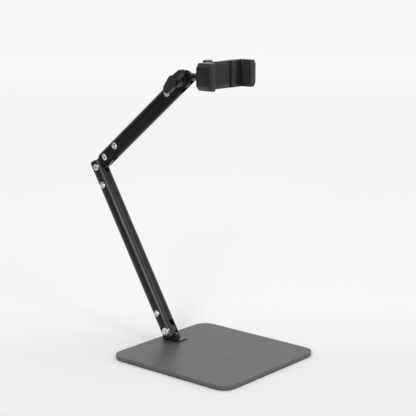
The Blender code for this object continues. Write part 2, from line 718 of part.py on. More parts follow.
def build_upper_arm(arm):
    """The upper arm with the head's pin. Returns the empty on the head pivot."""
    tube, near_plug, far_plug = build_arm("upper", arm, UPPER_SPAN, UPPER_ELBOW_END, HEAD_END)
    bore_for_bolt(tube, near_plug, "elbow_upper_fork", arm, 0)
    friction_washers("elbow_upper", arm, (0, 0, 0), SLEEVE_BORE)
    spot = (UPPER_SPAN, 0, 0)
    friction_washers("head", arm, spot, PIN_BORE)
    hole = rod("head_fork_hole", PIN_BORE, -TUBE_DIAMETER, TUBE_DIAMETER)
    far = rod("head_counterbore_far", COUNTERBORE_RADIUS, -TUBE_DIAMETER, -SEAT_HEIGHT)
    flat = rod("lever_flat", LEVER_SPOT_RADIUS, LEVER_SEAT, TUBE_DIAMETER)
    for cutter in (hole, far, flat):
        place(cutter, arm, spot, TOWARDS_NEAR)
    cut(far_plug, hole, far)
    cut(tube, hole, far, flat)

    # Pin from the far side, through the knuckle, into the lever
    seat = SEAT_HEIGHT + GAP
    top = seat + HEAD_HEIGHT
    profile = [
        (0, top),
        (HEAD_RADIUS - HEAD_DOME, top),
        (HEAD_RADIUS, top - HEAD_DOME),
        (HEAD_RADIUS, seat),
        (PIN_RADIUS, seat),
        (PIN_RADIUS, -PIN_END),
        (0, -PIN_END),
    ]
    pin = place(as_part(turned("head_pin", profile), NICKEL), arm, spot, TOWARDS_FAR)
    recess = socket("head_pin_socket", SOCKET_RADIUS, SOCKET_DEPTH, top)
    cut(pin, place(recess, arm, spot, TOWARDS_FAR))

    inner = LEVER_SEAT + GAP
    outer = inner + LEVER_WASHER_THICKNESS
    profile = [
        (LEVER_WASHER_RADIUS, outer),
        (LEVER_WASHER_RADIUS, inner),
        (PIN_BORE, inner),
        (PIN_BORE, outer),
    ]
    place(as_part(turned("lever_washer", profile), NICKEL), arm, spot, TOWARDS_NEAR)
    build_lever(pivot_empty("lever_pivot", arm, spot))
    return pivot_empty("head_pivot", arm, spot, HEAD_ANGLE - UPPER_ANGLE)


def build_lever(pivot):
    """The winged lever that clamps the head hinge. It lies along the arm."""
    outline = arc(LEVER_TIP_SPOT, LEVER_TIP, -72, 90, 9)
    outline.append(LEVER_NOTCH)
    outline += arc(LEVER_SHOULDER_SPOT, LEVER_SHOULDER, 20, 106, 4)
    outline += arc(LEVER_PALM_SPOT, LEVER_PALM, 106, 268, 9)
    outline += [LEVER_HEEL, LEVER_WAIST]
    wings_top = LEVER_WING_START + LEVER_WING_DEPTH
    lever = flat_solid("clamp_lever", outline, LEVER_WING_START, wings_top)
    lever.data.transform(Matrix.Rotation(math.pi / 2, 4, "X"))
    as_part(lever, BLACK_PLASTIC)
    place(lever, pivot)
    soften(lever, LEVER_EDGE, 2)
    hub = rod("lever_hub", LEVER_HUB_RADIUS, LEVER_START, LEVER_START + LEVER_HUB_HEIGHT)
    join(lever, place(hub, pivot, (0, 0, 0), TOWARDS_NEAR))
    bore = rod("lever_bore", PIN_BORE, -OVERCUT, PIN_END + GAP)
    cut(lever, place(bore, pivot, (0, 0, 0), TOWARDS_NEAR))


# Ball head


def build_head(pivot):
    """Knuckle, housing, seat, lock knob and ball. Returns the empty on the clamp's turning axis."""
    neck_end = BALL_FORWARD - HOUSING_REAR - GAP
    bar_end = NECK_START + 2 * OVERLAP
    bar_bottom = NECK_RISE - NECK_RADIUS + OVERLAP / 4
    lowest = math.degrees(math.asin(bar_bottom / TONGUE_RADIUS))
    outline = arc((0, 0), TONGUE_RADIUS, 90, 360 + lowest, 5 * ARC_STEPS)
    outline += [(bar_end, bar_bottom), (bar_end, TONGUE_RADIUS)]
    knuckle = as_part(side_solid("head_knuckle", outline, TONGUE_THICKNESS / 2), BLACK_SATIN)
    place(knuckle, pivot)
    neck = [
        (0, neck_end + HOUSING_REAR - HOUSING_FLOOR),
        (SPIGOT_RADIUS, neck_end + HOUSING_REAR - HOUSING_FLOOR),
        (SPIGOT_RADIUS, neck_end),
        (NECK_RADIUS, neck_end),
        (NECK_RADIUS, NECK_START + OVERLAP),
        (NECK_RADIUS - OVERLAP, NECK_START),
        (0, NECK_START),
    ]
    join(knuckle, place(turned("neck", neck), pivot, (0, 0, NECK_RISE), FORWARD))
    hole = rod("knuckle_hole", PIN_BORE, -TUBE_RADIUS, TUBE_RADIUS)
    cut(knuckle, place(hole, pivot, (0, 0, 0), TOWARDS_NEAR))

    ball_centre = (BALL_FORWARD, 0, NECK_RISE)
    profile = [
        (HOUSING_LIP, HOUSING_MOUTH),
        (HOUSING_RADIUS, HOUSING_MOUTH - (HOUSING_RADIUS - HOUSING_LIP)),
        (HOUSING_RADIUS, -HOUSING_SHOULDER),
        (HOUSING_TAIL_RADIUS, -HOUSING_REAR),
        (SPIGOT_RADIUS + GAP, -HOUSING_REAR),
        (SPIGOT_RADIUS + GAP, -HOUSING_FLOOR),
        (SEAT_RADIUS + GAP, -HOUSING_FLOOR),
    ]
    rear = math.degrees(math.asin((SEAT_RADIUS + GAP) / SOCKET_SPHERE))
    mouth = math.degrees(math.acos(HOUSING_MOUTH / SOCKET_SPHERE))
    bowl = arc((0, 0), SOCKET_SPHERE, 180 - rear, mouth, 8)
    profile += [(height, along) for along, height in bowl]
    housing = place(as_part(turned("ball_housing", profile), BLACK_ANODISED), pivot, ball_centre, FORWARD)
    boss = rod("housing_boss", BOSS_RADIUS, HOUSING_RADIUS - 2 * OVERLAP, BOSS_TOP, ROUND_STEPS)
    join(housing, place(boss, pivot, ball_centre))
    thread = rod("lock_hole", LOCK_SCREW_RADIUS + GAP, BALL_RADIUS / 2, BOSS_TOP + OVERCUT, SMALL_STEPS)
    cut(housing, place(thread, pivot, ball_centre))

    front = -SEAT_FRONT
    dish = math.degrees(math.acos(SEAT_FRONT / SOCKET_SPHERE))
    floor = math.degrees(math.asin(SEAT_BORE / SOCKET_SPHERE))
    profile = [(SEAT_RADIUS, front), (SEAT_RADIUS, GAP - HOUSING_FLOOR), (SEAT_BORE, GAP - HOUSING_FLOOR)]
    bowl = arc((0, 0), SOCKET_SPHERE, 180 - floor, 180 - dish, 6)
    profile += [(height, along) for along, height in bowl]
    place(as_part(turned("ball_seat", profile), NYLON), pivot, ball_centre, FORWARD)

    pad_start = SOCKET_SPHERE + GAP
    pad = rod("pressure_pad", LOCK_SCREW_RADIUS, pad_start, pad_start + PRESSURE_PAD_LENGTH, SMALL_STEPS)
    place(as_part(pad, NYLON), pivot, ball_centre)
    lock = pivot_empty("lock_pivot", pivot, ball_centre)
    screw_start = pad_start + PRESSURE_PAD_LENGTH + GAP
    screw = rod("lock_screw", LOCK_SCREW_RADIUS, screw_start, KNOB_START + LOCK_SCREW_GRIP, SMALL_STEPS)
    place(as_part(screw, NICKEL), lock)
    outline = []
    for flute in range(KNOB_FLUTES):
        for share, radius in ((0, KNOB_RADIUS), (0.5, KNOB_RADIUS), (0.75, KNOB_RADIUS - KNOB_FLUTE_DEPTH)):
            angle = 2 * math.pi * (flute + share) / KNOB_FLUTES
            outline.append((radius * math.cos(angle), radius * math.sin(angle)))
    knob = flat_solid("lock_knob", outline, KNOB_START, KNOB_START + KNOB_HEIGHT)
    knob = place(as_part(knob, BLACK_PLASTIC), lock)
    edge = [
        (0, KNOB_START + KNOB_HEIGHT + OVERCUT),
        (KNOB_RADIUS - KNOB_EDGE - OVERCUT, KNOB_START + KNOB_HEIGHT + OVERCUT),
        (KNOB_RADIUS + OVERCUT, KNOB_START + KNOB_HEIGHT - KNOB_EDGE - OVERCUT),
        (KNOB_RADIUS + OVERCUT, KNOB_START - OVERCUT),
        (0, KNOB_START - OVERCUT),
    ]
    combine(knob, place(turned("knob_edge", edge), lock), "INTERSECT")
    bore = rod("knob_bore", LOCK_SCREW_RADIUS + GAP, KNOB_START - OVERCUT, KNOB_START + LOCK_SCREW_GRIP + GAP)
    cut(knob, place(bore, lock))

    ball_pivot = pivot_empty("ball_pivot", pivot, ball_centre)
    collar_front = CLAMP_FORWARD - BALL_FORWARD - MOUNT_BOSS_HEIGHT - GAP
    collar_rear = collar_front - COLLAR_THICKNESS
    neck = math.degrees(math.asin(STUD_NECK_RADIUS / BALL_RADIUS))
    profile = [
        (0, collar_front + STUD_LENGTH),
        (STUD_RADIUS, collar_front + STUD_LENGTH),
        (STUD_RADIUS, collar_front),
        (COLLAR_RADIUS, collar_front),
        (COLLAR_RADIUS, collar_rear),
        (STUD_NECK_RADIUS, collar_rear),
    ]
    profile += [(height, along) for along, height in arc((0, 0), BALL_RADIUS, neck, 174, 11)]
    profile.append((0, -BALL_RADIUS))
    place(as_part(turned("ball_stud", profile), POLISHED_STEEL), ball_pivot, (0, 0, 0), FORWARD)
    return pivot_empty("clamp_pivot", ball_pivot, (CLAMP_FORWARD - BALL_FORWARD, 0, 0))


# Phone clamp


def front_solid(name, outline, low, high):
    """An outline in the YZ plane, as a solid from low to high on X."""
    obj = flat_solid(name, outline, low, high)
    obj.data.transform(Matrix(((0, 0, 1, 0), (1, 0, 0, 0), (0, 1, 0, 0), (0, 0, 0, 1))))
    return obj


def clamp_outline(inner, outer, inset=0.0):
    """The clamp's shape from the front: square at y = inner, with cut corners at y = outer."""
    top = CLAMP_TOP - inset
    cut_off = math.copysign(JAW_CHAMFER_WIDTH, outer - inner)
    return [
        (inner, -top),
        (outer - cut_off, -top),
        (outer, -top + JAW_CHAMFER),
        (outer, top - JAW_CHAMFER),
        (outer - cut_off, top),
        (inner, top),
    ]


def build_clamp(turn_pivot):
    """The phone clamp, with the clamp's middle CLAMP_RISE over its turning axis."""
    clamp = pivot_empty("clamp", turn_pivot, (0, 0, CLAMP_RISE))
    stud_spot = (0, 0, -CLAMP_RISE)

    outline = clamp_outline(BODY_END, -JAW_OUTER)
    body = as_part(front_solid("clamp_body", outline, BODY_REAR, BODY_FRONT), BLACK_MOULDED)
    place(body, clamp)
    soften(body, JAW_EDGE / 2, 2)
    outline = clamp_outline(-JAW_FACE, -JAW_OUTER)
    jaw = front_solid("fixed_jaw", outline, BODY_REAR + 2 * OVERLAP, JAW_TIP)
    soften(jaw, JAW_EDGE, 2)
    join(body, place(jaw, clamp))
    low = (BODY_REAR - OVERCUT, CAVITY_REAR_Y, -CAVITY_TOP)
    cavity = box("clamp_cavity", low, (CAVITY_FRONT, BODY_END + OVERCUT, CAVITY_TOP))
    cut(body, place(cavity, clamp))

    outline = clamp_outline(BODY_END - COVER_INSET, -JAW_OUTER + COVER_INSET, COVER_INSET)
    cover = as_part(front_solid("clamp_cover", outline, 0, COVER_THICKNESS), BLACK_MOULDED)
    place(cover, clamp)
    boss = rod("mount_boss", MOUNT_BOSS_RADIUS, -MOUNT_BOSS_HEIGHT, OVERLAP)
    join(cover, place(boss, clamp, stud_spot, FORWARD))
    pocket = rod("nut_pocket", NUT_RADIUS + GAP, NUT_FLOOR - MOUNT_BOSS_HEIGHT, OVERCUT, steps=6)
    stud_hole = rod("stud_hole", STUD_RADIUS + GAP, -MOUNT_BOSS_HEIGHT - OVERCUT, OVERCUT, SMALL_STEPS)
    cut(cover, place(pocket, clamp, stud_spot, FORWARD), place(stud_hole, clamp, stud_spot, FORWARD))
    nut_start = NUT_FLOOR - MOUNT_BOSS_HEIGHT + GAP
    nut = rod("mount_nut", NUT_RADIUS, nut_start, COVER_THICKNESS - GAP, steps=6)
    place(as_part(nut, NICKEL), clamp, stud_spot, FORWARD)
    thread = rod("nut_thread", STUD_RADIUS + GAP, nut_start - OVERCUT, OVERCUT, SMALL_STEPS)
    cut(nut, place(thread, clamp, stud_spot, FORWARD))

    height = CLAMP_TOP - COVER_SCREW_INSET
    for end, y in (("near", COVER_SCREW_NEAR), ("far", COVER_SCREW_FAR)):
        for level, z in (("low", -height), ("high", height)):
            spot = (0, y, z)
            head_end = COVER_SCREW_RADIUS - COVER_SCREW_SHANK
            profile = [
                (0, COVER_SCREW_LENGTH),
                (COVER_SCREW_SHANK, COVER_SCREW_LENGTH),
                (COVER_SCREW_SHANK, head_end + OVERLAP / 4),
                (COVER_SCREW_RADIUS, OVERLAP / 4),
                (0, OVERLAP / 4),
            ]
            name = f"cover_screw_{end}_{level}"
            screw = as_part(turned(name, profile, SMALL_STEPS), NICKEL)
            place(screw, clamp, spot, FORWARD)
            profile = [
                (0, COVER_SCREW_LENGTH + GAP),
                (COVER_SCREW_SHANK + GAP, COVER_SCREW_LENGTH + GAP),
                (COVER_SCREW_SHANK + GAP, head_end + OVERLAP / 4),
                (COVER_SCREW_RADIUS + GAP, OVERLAP / 4),
                (COVER_SCREW_RADIUS + GAP, -OVERCUT),
                (0, -OVERCUT),
            ]
            hole = place(turned(name + "_hole", profile, SMALL_STEPS), clamp, spot, FORWARD)
            cut(cover, hole)
            cut(body, hole)

    length = BODY_END - BACK_PAD_INSET
    height = CLAMP_TOP - BACK_PAD_INSET
    start = (-JAW_INNER + OVERLAP, -height)
    outline = rounded_box_outline(start, (length, height), [FOOT_CORNER / 2] * 4)
    pad = front_solid("back_pad", outline, BODY_FRONT + GAP, CLAMP_BACK)
    place(as_part(pad, RUBBER), clamp)
    jaw_pad("fixed_jaw_pad", clamp, -1)

    slider = pivot_empty("jaw_slide", clamp, (0, 0, 0))
    build_sliding_jaw(slider)
    start = CAVITY_REAR_Y + GAP
    end = -CARRIAGE_END + SPRING_SLOT - GAP
    for name, side in (("low", -1), ("high", 1)):
        z = side * SPRING_SPREAD
        spring(f"jaw_spring_{name}", clamp, start, end, z)
        peg = rod(f"anchor_peg_{name}", PEG_RADIUS, -OVERLAP, PEG_LENGTH, SMALL_STEPS)
        join(body, place(peg, clamp, (SPRING_DEPTH, CAVITY_REAR_Y, z), TOWARDS_FAR))


def jaw_pad(name, parent, side):
    """The grip pad on a jaw's inner face."""
    height = CLAMP_TOP - JAW_PAD_INSET
    low = (CLAMP_BACK + JAW_PAD_INSET / 2, -height)
    outline = rounded_box_outline(low, (JAW_TIP - JAW_PAD_INSET / 2, height), [FOOT_CORNER / 2] * 4)
    inner, outer = sorted((side * JAW_INNER, side * (JAW_INNER + JAW_PAD_THICKNESS)))
    pad = flat_solid(name, outline, -outer, -inner)
    pad.data.transform(Matrix.Rotation(math.pi / 2, 4, "X"))
    return place(as_part(pad, RUBBER), parent)


def build_sliding_jaw(slider):
    """The sliding jaw with its carriage, and the pad on the jaw."""
    outline = clamp_outline(BODY_END + GAP, JAW_OUTER)
    jaw = as_part(front_solid("sliding_jaw", outline, 0, CLAMP_BACK), BLACK_MOULDED)
    place(jaw, slider)
    soften(jaw, JAW_EDGE / 2, 2)
    outline = clamp_outline(JAW_FACE, JAW_OUTER - SKIN, SKIN)
    lip = front_solid("sliding_lip", outline, OVERLAP * 2, JAW_TIP)
    soften(lip, JAW_EDGE, 2)
    join(jaw, place(lip, slider))
    low = (CARRIAGE_REAR, -CARRIAGE_END, -CARRIAGE_TOP)
    carriage = box("carriage", low, (CARRIAGE_FRONT, BODY_END + 4 * OVERLAP, CARRIAGE_TOP))
    join(jaw, place(carriage, slider))
    slot_end = -CARRIAGE_END + SPRING_SLOT
    for name, side in (("low", -1), ("high", 1)):
        z = side * SPRING_SPREAD
        low = (CARRIAGE_REAR - OVERCUT, -CARRIAGE_END - OVERCUT, z - SPRING_ROOM / 2)
        high = (CARRIAGE_FRONT + OVERCUT, slot_end, z + SPRING_ROOM / 2)
        cut(jaw, place(box(f"spring_slot_{name}", low, high), slider))
        peg = rod(f"carriage_peg_{name}", PEG_RADIUS, -OVERLAP, PEG_LENGTH, SMALL_STEPS)
        join(jaw, place(peg, slider, (SPRING_DEPTH, slot_end, z), TOWARDS_NEAR))
    jaw_pad("sliding_jaw_pad", slider, 1)


def spring(name, parent, start, end, z):
    """An extension spring along Y, a helix of round wire."""
    curve = bpy.data.curves.new(name, "CURVE")
    curve.dimensions = "3D"
    curve.bevel_depth = SPRING_WIRE
    curve.bevel_resolution = 0
    curve.use_fill_caps = True
    spline = curve.splines.new("POLY")
    steps = SPRING_TURNS * 9
    spline.points.add(steps)
    coil = SPRING_RADIUS - SPRING_WIRE
    first = start + SPRING_WIRE
    length = end - start - 2 * SPRING_WIRE
    for i, point in enumerate(spline.points):
        angle = 2 * math.pi * i / 9
        y = first + length * i / steps
        point.co = (SPRING_DEPTH + coil * math.cos(angle), y, z + coil * math.sin(angle), 1)
    drawn = bpy.data.objects.new(name, curve)
    bpy.context.scene.collection.objects.link(drawn)
    graph = bpy.context.evaluated_depsgraph_get()
    mesh = bpy.data.meshes.new_from_object(drawn.evaluated_get(graph))
    bpy.data.objects.remove(drawn, do_unlink=True)
    shape = bmesh.new()
    shape.from_mesh(mesh)
    bpy.data.meshes.remove(mesh)
    bmesh.ops.remove_doubles(shape, verts=shape.verts, dist=0.000001)
    bmesh.ops.recalc_face_normals(shape, faces=shape.faces)
    place(as_part(mesh_object(name, shape), NICKEL), parent)


# The whole stand


clear_scene()
PARTS = new_collection("overhead_phone_stand")
CUTTERS = new_collection("cutters")
CUTTERS.hide_render = True

BLACK_STEEL = finish("painted_steel", (0.055, 0.055, 0.058), 0.0, 0.42)
BLACK_ANODISED = finish("anodised_aluminium", (0.022, 0.022, 0.024), 0.6, 0.38)
BLACK_SATIN = finish("painted_fittings", (0.020, 0.020, 0.022), 0.0, 0.40)
BLACK_PLASTIC = finish("knob_plastic", (0.020, 0.020, 0.021), 0.0, 0.45)
BLACK_MOULDED = finish("clamp_plastic", (0.036, 0.036, 0.038), 0.0, 0.50)
RUBBER = finish("rubber", (0.028, 0.028, 0.030), 0.0, 0.80)
NYLON = finish("nylon", (0.60, 0.60, 0.57), 0.0, 0.50)
NICKEL = finish("nickel_plate", (0.70, 0.68, 0.63), 1.0, 0.22)
POLISHED_STEEL = finish("polished_steel", (0.62, 0.62, 0.63), 1.0, 0.12)

lower_pivot = build_base()
link_pivot = build_lower_arm(lower_pivot)
upper_pivot = build_elbow(link_pivot)
head_pivot = build_upper_arm(upper_pivot)
clamp_pivot = build_head(head_pivot)
build_clamp(clamp_pivot)
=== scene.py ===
"""The looks of an overhead phone stand.

A heavy powder-coated base plate carries two anodised tubes that are joined by a double elbow.
A winged lever holds the head, and a ball head at its end carries a sprung phone clamp. Every
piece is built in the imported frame's own metres, so it lies where its CAD solid lies and rides
on that solid's body.
"""

from __future__ import annotations

import json
import logging
import math
from dataclasses import dataclass
from enum import Enum
from typing import ClassVar, Iterable, Sequence

import bmesh
import bpy
from mathutils import Euler, Matrix, Vector

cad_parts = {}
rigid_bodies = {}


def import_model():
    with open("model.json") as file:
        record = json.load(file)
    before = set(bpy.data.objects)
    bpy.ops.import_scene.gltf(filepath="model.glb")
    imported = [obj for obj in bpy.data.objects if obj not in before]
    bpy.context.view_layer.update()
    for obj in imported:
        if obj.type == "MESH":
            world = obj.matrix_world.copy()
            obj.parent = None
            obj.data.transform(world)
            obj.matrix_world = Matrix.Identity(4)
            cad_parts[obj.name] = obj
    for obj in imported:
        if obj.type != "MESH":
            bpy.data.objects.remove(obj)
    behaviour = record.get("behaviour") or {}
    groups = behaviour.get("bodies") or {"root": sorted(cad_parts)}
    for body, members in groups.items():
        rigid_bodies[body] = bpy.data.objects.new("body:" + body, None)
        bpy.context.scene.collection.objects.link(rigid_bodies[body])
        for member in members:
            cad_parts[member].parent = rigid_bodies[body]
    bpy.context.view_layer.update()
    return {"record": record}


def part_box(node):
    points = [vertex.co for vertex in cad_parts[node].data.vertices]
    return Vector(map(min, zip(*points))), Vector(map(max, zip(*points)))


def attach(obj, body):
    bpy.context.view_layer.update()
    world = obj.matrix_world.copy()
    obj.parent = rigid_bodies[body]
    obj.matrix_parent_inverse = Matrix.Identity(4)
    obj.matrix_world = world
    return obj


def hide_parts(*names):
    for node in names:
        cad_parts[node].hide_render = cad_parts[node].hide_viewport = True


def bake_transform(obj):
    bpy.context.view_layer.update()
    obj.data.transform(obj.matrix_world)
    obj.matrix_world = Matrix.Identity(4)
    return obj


LOG = logging.getLogger("phone_stand")

Outline = Sequence[tuple[float, float]]
Pair = tuple[float, float]
Spot = tuple[float, float, float]
Colour = tuple[float, float, float]

GAP = 0.0003  # between pieces that touch, as in the CAD
OVERCUT = 0.004  # by which a cutter runs past the wall it cuts
THROUGH = 0.02  # how far a cutter that goes right through an arm reaches either way
FINE = 0.0001  # radius of an edge that is only just broken
SLEEVE_BORE = 0.0043  # round a sleeve nut
PIN_BORE = 0.0033  # round the head's pin
ON_AXIS = 1e-7  # a turned point nearer to the axis than this lies on it
FOLDED = 1e-4  # a corner whose half angle has a smaller tangent is folded back on itself
CORNER_SHARE = 0.48  # of a side that one round corner may take up
SMOOTH_ANGLE = math.radians(38)  # edges sharper than this stay sharp in the shading


class Steps(Enum):
    """How finely a round piece is divided."""

    TUBE = 96
    ROUND = 64
    SMALL = 40
    HEXAGON = 6


class Facing(Enum):
    """Which way a turned piece's +Z points once it is in place."""

    NEAR = (math.pi / 2, 0.0, 0.0)
    FAR = (-math.pi / 2, 0.0, 0.0)
    FORWARD = (0.0, math.pi / 2, 0.0)
    BACKWARD = (0.0, -math.pi / 2, 0.0)
    UP = (0.0, 0.0, 0.0)

    def matrix(self) -> Matrix:
        """The turn as a 4 by 4 matrix."""
        return Euler(self.value).to_matrix().to_4x4()


class Operation(Enum):
    """What a Boolean does with its tool."""

    CUT = "DIFFERENCE"
    JOIN = "UNION"
    KEEP = "INTERSECT"


# Shapes


def fillet(points: Outline, radii: float | Sequence[float], closed: bool = True, steps: int = 5) -> Outline:
    """Rounds the corners of a line of points.

    Args:
        points: The corners, in order.
        radii: One radius for all the corners, or one for each.
        closed: Whether the last point joins the first. The ends of an unclosed line stay sharp.
        steps: Pieces in each rounded corner.

    Returns:
        The points of the rounded line.
    """
    count = len(points)
    sizes = [radii] * count if isinstance(radii, (int, float)) else list(radii)
    line: list[Pair] = []
    for i, corner in enumerate(points):
        if sizes[i] <= 0 or (not closed and i in (0, count - 1)):
            line.append(tuple(corner))
            continue
        here = Vector(corner)
        back = Vector(points[i - 1]) - here
        ahead = Vector(points[(i + 1) % count]) - here
        half = back.angle(ahead) / 2
        reach = sizes[i] / max(math.tan(half), FOLDED)
        reach = min(reach, back.length * CORNER_SHARE, ahead.length * CORNER_SHARE)
        start = here + back.normalized() * reach
        end = here + ahead.normalized() * reach
        for step in range(steps + 1):
            share = step / steps
            point = start * (1 - share) ** 2 + here * (2 * share * (1 - share)) + end * share**2
            line.append((point.x, point.y))
    return line


def arc(centre: Pair, radius: float, start: float, end: float, steps: int) -> list[Pair]:
    """Points round a centre from one angle to another.

    Args:
        centre: Middle of the arc.
        radius: Its radius.
        start: First angle in degrees.
        end: Last angle in degrees.
        steps: Pieces in the arc.

    Returns:
        The points, with both ends.
    """
    angles = [math.radians(start + (end - start) * i / steps) for i in range(steps + 1)]
    return [(centre[0] + radius * math.cos(a), centre[1] + radius * math.sin(a)) for a in angles]


def rectangle(low: Pair, high: Pair) -> Outline:
    """The four corners between two opposite ones, counterclockwise."""
    return [low, (high[0], low[1]), high, (low[0], high[1])]


def as_mesh(shape: bmesh.types.BMesh, name: str) -> bpy.types.Mesh:
    """A mesh of a bmesh, which is freed."""
    mesh = bpy.data.meshes.new(name)
    shape.to_mesh(mesh)
    shape.free()
    return mesh


def turned(name: str, profile: Outline, steps: Steps = Steps.ROUND) -> bpy.types.Mesh:
    """A shape turned about +Z.

    Args:
        name: The mesh's name.
        profile: (radius, height) points from the top down the outer side. One that ends off the axis closes on
            its first point, which leaves a bore.
        steps: Divisions round the axis.

    Returns:
        The closed mesh.
    """
    shape = bmesh.new()
    angles = [2 * math.pi * i / steps.value for i in range(steps.value)]
    rings = []
    for radius, height in profile:
        spots = angles if radius > ON_AXIS else angles[:1]
        rings.append([shape.verts.new((radius * math.cos(a), radius * math.sin(a), height)) for a in spots])
    pairs = list(zip(rings, rings[1:]))
    if profile[-1][0] > ON_AXIS:
        pairs.append((rings[-1], rings[0]))
    for upper, lower in pairs:
        for i in range(steps.value):
            j = (i + 1) % steps.value
            if len(upper) == 1:
                shape.faces.new((upper[0], lower[i], lower[j]))
            elif len(lower) == 1:
                shape.faces.new((upper[i], lower[0], upper[j]))
            else:
                shape.faces.new((upper[i], lower[i], lower[j], upper[j]))
    return as_mesh(shape, name)


def disc(radius: float, low: float, high: float) -> Outline:
    """The profile of a solid disc or rod, for turning."""
    return [(0, high), (radius, high), (radius, low), (0, low)]


def ring(inner: float, outer: float, low: float, high: float) -> Outline:
    """The profile of a ring, for turning: down its outer side and up its bore."""
    return [(outer, high), (outer, low), (inner, low), (inner, high)]


def rod(name: str, radius: float, low: float, high: float, steps: Steps = Steps.ROUND) -> bpy.types.Mesh:
    """A plain cylinder on +Z, mostly a cutter."""
    return turned(name, disc(radius, low, high), steps)


def prism(name: str, outline: Outline, low: float, high: float, edge: float = 0.0) -> bpy.types.Mesh:
    """An outline in the XY plane as a solid.

    Args:
        name: The mesh's name.
        outline: The corners, in either direction.
        low: Height of the lower face.
        high: Height of the upper face.
        edge: Radius of the round edges of both faces.

    Returns:
        The closed mesh.
    """
    area = sum(a[0] * b[1] - b[0] * a[1] for a, b in zip(outline, list(outline[1:]) + [outline[0]]))
    points = list(outline) if area > 0 else list(reversed(outline))
    shape = bmesh.new()
    bottom = [shape.verts.new((x, y, low)) for x, y in points]
    top = [shape.verts.new((x, y, high)) for x, y in points]
    caps = [shape.faces.new(list(reversed(bottom))), shape.faces.new(top)]
    for i in range(len(points)):
        j = (i + 1) % len(points)
        shape.faces.new((bottom[i], bottom[j], top[j], top[i]))
    if edge > 0:
        rims = [rim for cap in caps for rim in cap.edges]
        bmesh.ops.bevel(
            shape, geom=rims, offset=edge, segments=4, profile=0.5, affect="EDGES", clamp_overlap=True
        )
    return as_mesh(shape, name)


def side_prism(
    name: str, outline: Outline, half_width: float, edge: float = 0.0, middle: float = 0.0
) -> bpy.types.Mesh:
    """An outline in the XZ plane as a solid across Y, about y = middle."""
    mesh = prism(name, outline, -half_width - middle, half_width - middle, edge)
    mesh.transform(Matrix.Rotation(math.pi / 2, 4, "X"))
    return mesh


def front_prism(name: str, outline: Outline, low: float, high: float, edge: float = 0.0) -> bpy.types.Mesh:
    """An outline in the YZ plane as a solid from low to high on X."""
    mesh = prism(name, outline, low, high, edge)
    mesh.transform(Matrix(((0, 0, 1, 0), (1, 0, 0, 0), (0, 1, 0, 0), (0, 0, 0, 1))))
    return mesh


def block(name: str, low: Sequence[float], high: Sequence[float]) -> bpy.types.Mesh:
    """A box between two corners, mostly a cutter."""
    return prism(name, rectangle((low[0], low[1]), (high[0], high[1])), low[2], high[2])


def moved(mesh: bpy.types.Mesh, *steps: Matrix) -> bpy.types.Mesh:
    """The same mesh after the given moves, the last one first, as matrices multiply."""
    whole = Matrix.Identity(4)
    for step in steps:
        whole = whole @ step
    mesh.transform(whole)
    return mesh


def shifted(x: float = 0.0, y: float = 0.0, z: float = 0.0) -> Matrix:
    """A plain move."""
    return Matrix.Translation((x, y, z))


def across(
    radius: float, low: float = -THROUGH, high: float = THROUGH, x: float = 0.0, steps: Steps = Steps.ROUND
) -> bpy.types.Mesh:
    """A round cutter across the plane that the arms swing in, from low to high on the near side."""
    return moved(rod("across", radius, low, high, steps), shifted(x), Facing.NEAR.matrix())


def cuts(*tools: bpy.types.Mesh) -> list[tuple[Operation, bpy.types.Mesh]]:
    """Shapes as the tools that cut another."""
    return [(Operation.CUT, tool) for tool in tools]


class Bench:
    """Scratch objects on which modifiers work, removed when the shape is done."""

    def __init__(self) -> None:
        """Starts with an empty bench."""
        self.objects: list[bpy.types.Object] = []

    def lay(self, mesh: bpy.types.Mesh) -> bpy.types.Object:
        """Puts a mesh on the bench as an object."""
        obj = bpy.data.objects.new(mesh.name, mesh)
        bpy.context.scene.collection.objects.link(obj)
        self.objects.append(obj)
        return obj

    def take(self, obj: bpy.types.Object, name: str) -> bpy.types.Mesh:
        """Evaluates an object's modifiers, clears the bench and returns the plain mesh."""
        bpy.context.view_layer.update()
        graph = bpy.context.evaluated_depsgraph_get()
        mesh = bpy.data.meshes.new_from_object(obj.evaluated_get(graph), depsgraph=graph)
        for scratch in self.objects:
            data = scratch.data
            bpy.data.objects.remove(scratch, do_unlink=True)
            if data.users == 0:
                bpy.data.meshes.remove(data)
        self.objects.clear()
        mesh.name = name
        return mesh


def worked(
    body: bpy.types.Mesh,
    tools: Iterable[tuple[Operation, bpy.types.Mesh]] = (),
    edge: float = 0.0,
    angle: float = 35.0,
) -> bpy.types.Mesh:
    """Cuts, joins and rounds a shape.

    Args:
        body: The shape to start from.
        tools: What is done to it, in order.
        edge: Radius of its round edges.
        angle: Edges sharper than this, in degrees, are rounded.

    Returns:
        The finished mesh.
    """
    bench = Bench()
    name = body.name
    obj = bench.lay(body)
    for number, (operation, tool) in enumerate(tools):
        boolean = obj.modifiers.new(f"tool_{number}", "BOOLEAN")
        boolean.operation = operation.value
        boolean.solver = "EXACT"
        boolean.object = bench.lay(tool)
    if edge > 0:
        bevel = obj.modifiers.new("edges", "BEVEL")
        bevel.width = edge
        bevel.segments = 3
        bevel.limit_method = "ANGLE"
        bevel.angle_limit = math.radians(angle)
        bevel.use_clamp_overlap = True
    return bench.take(obj, name)


# Geometry Nodes


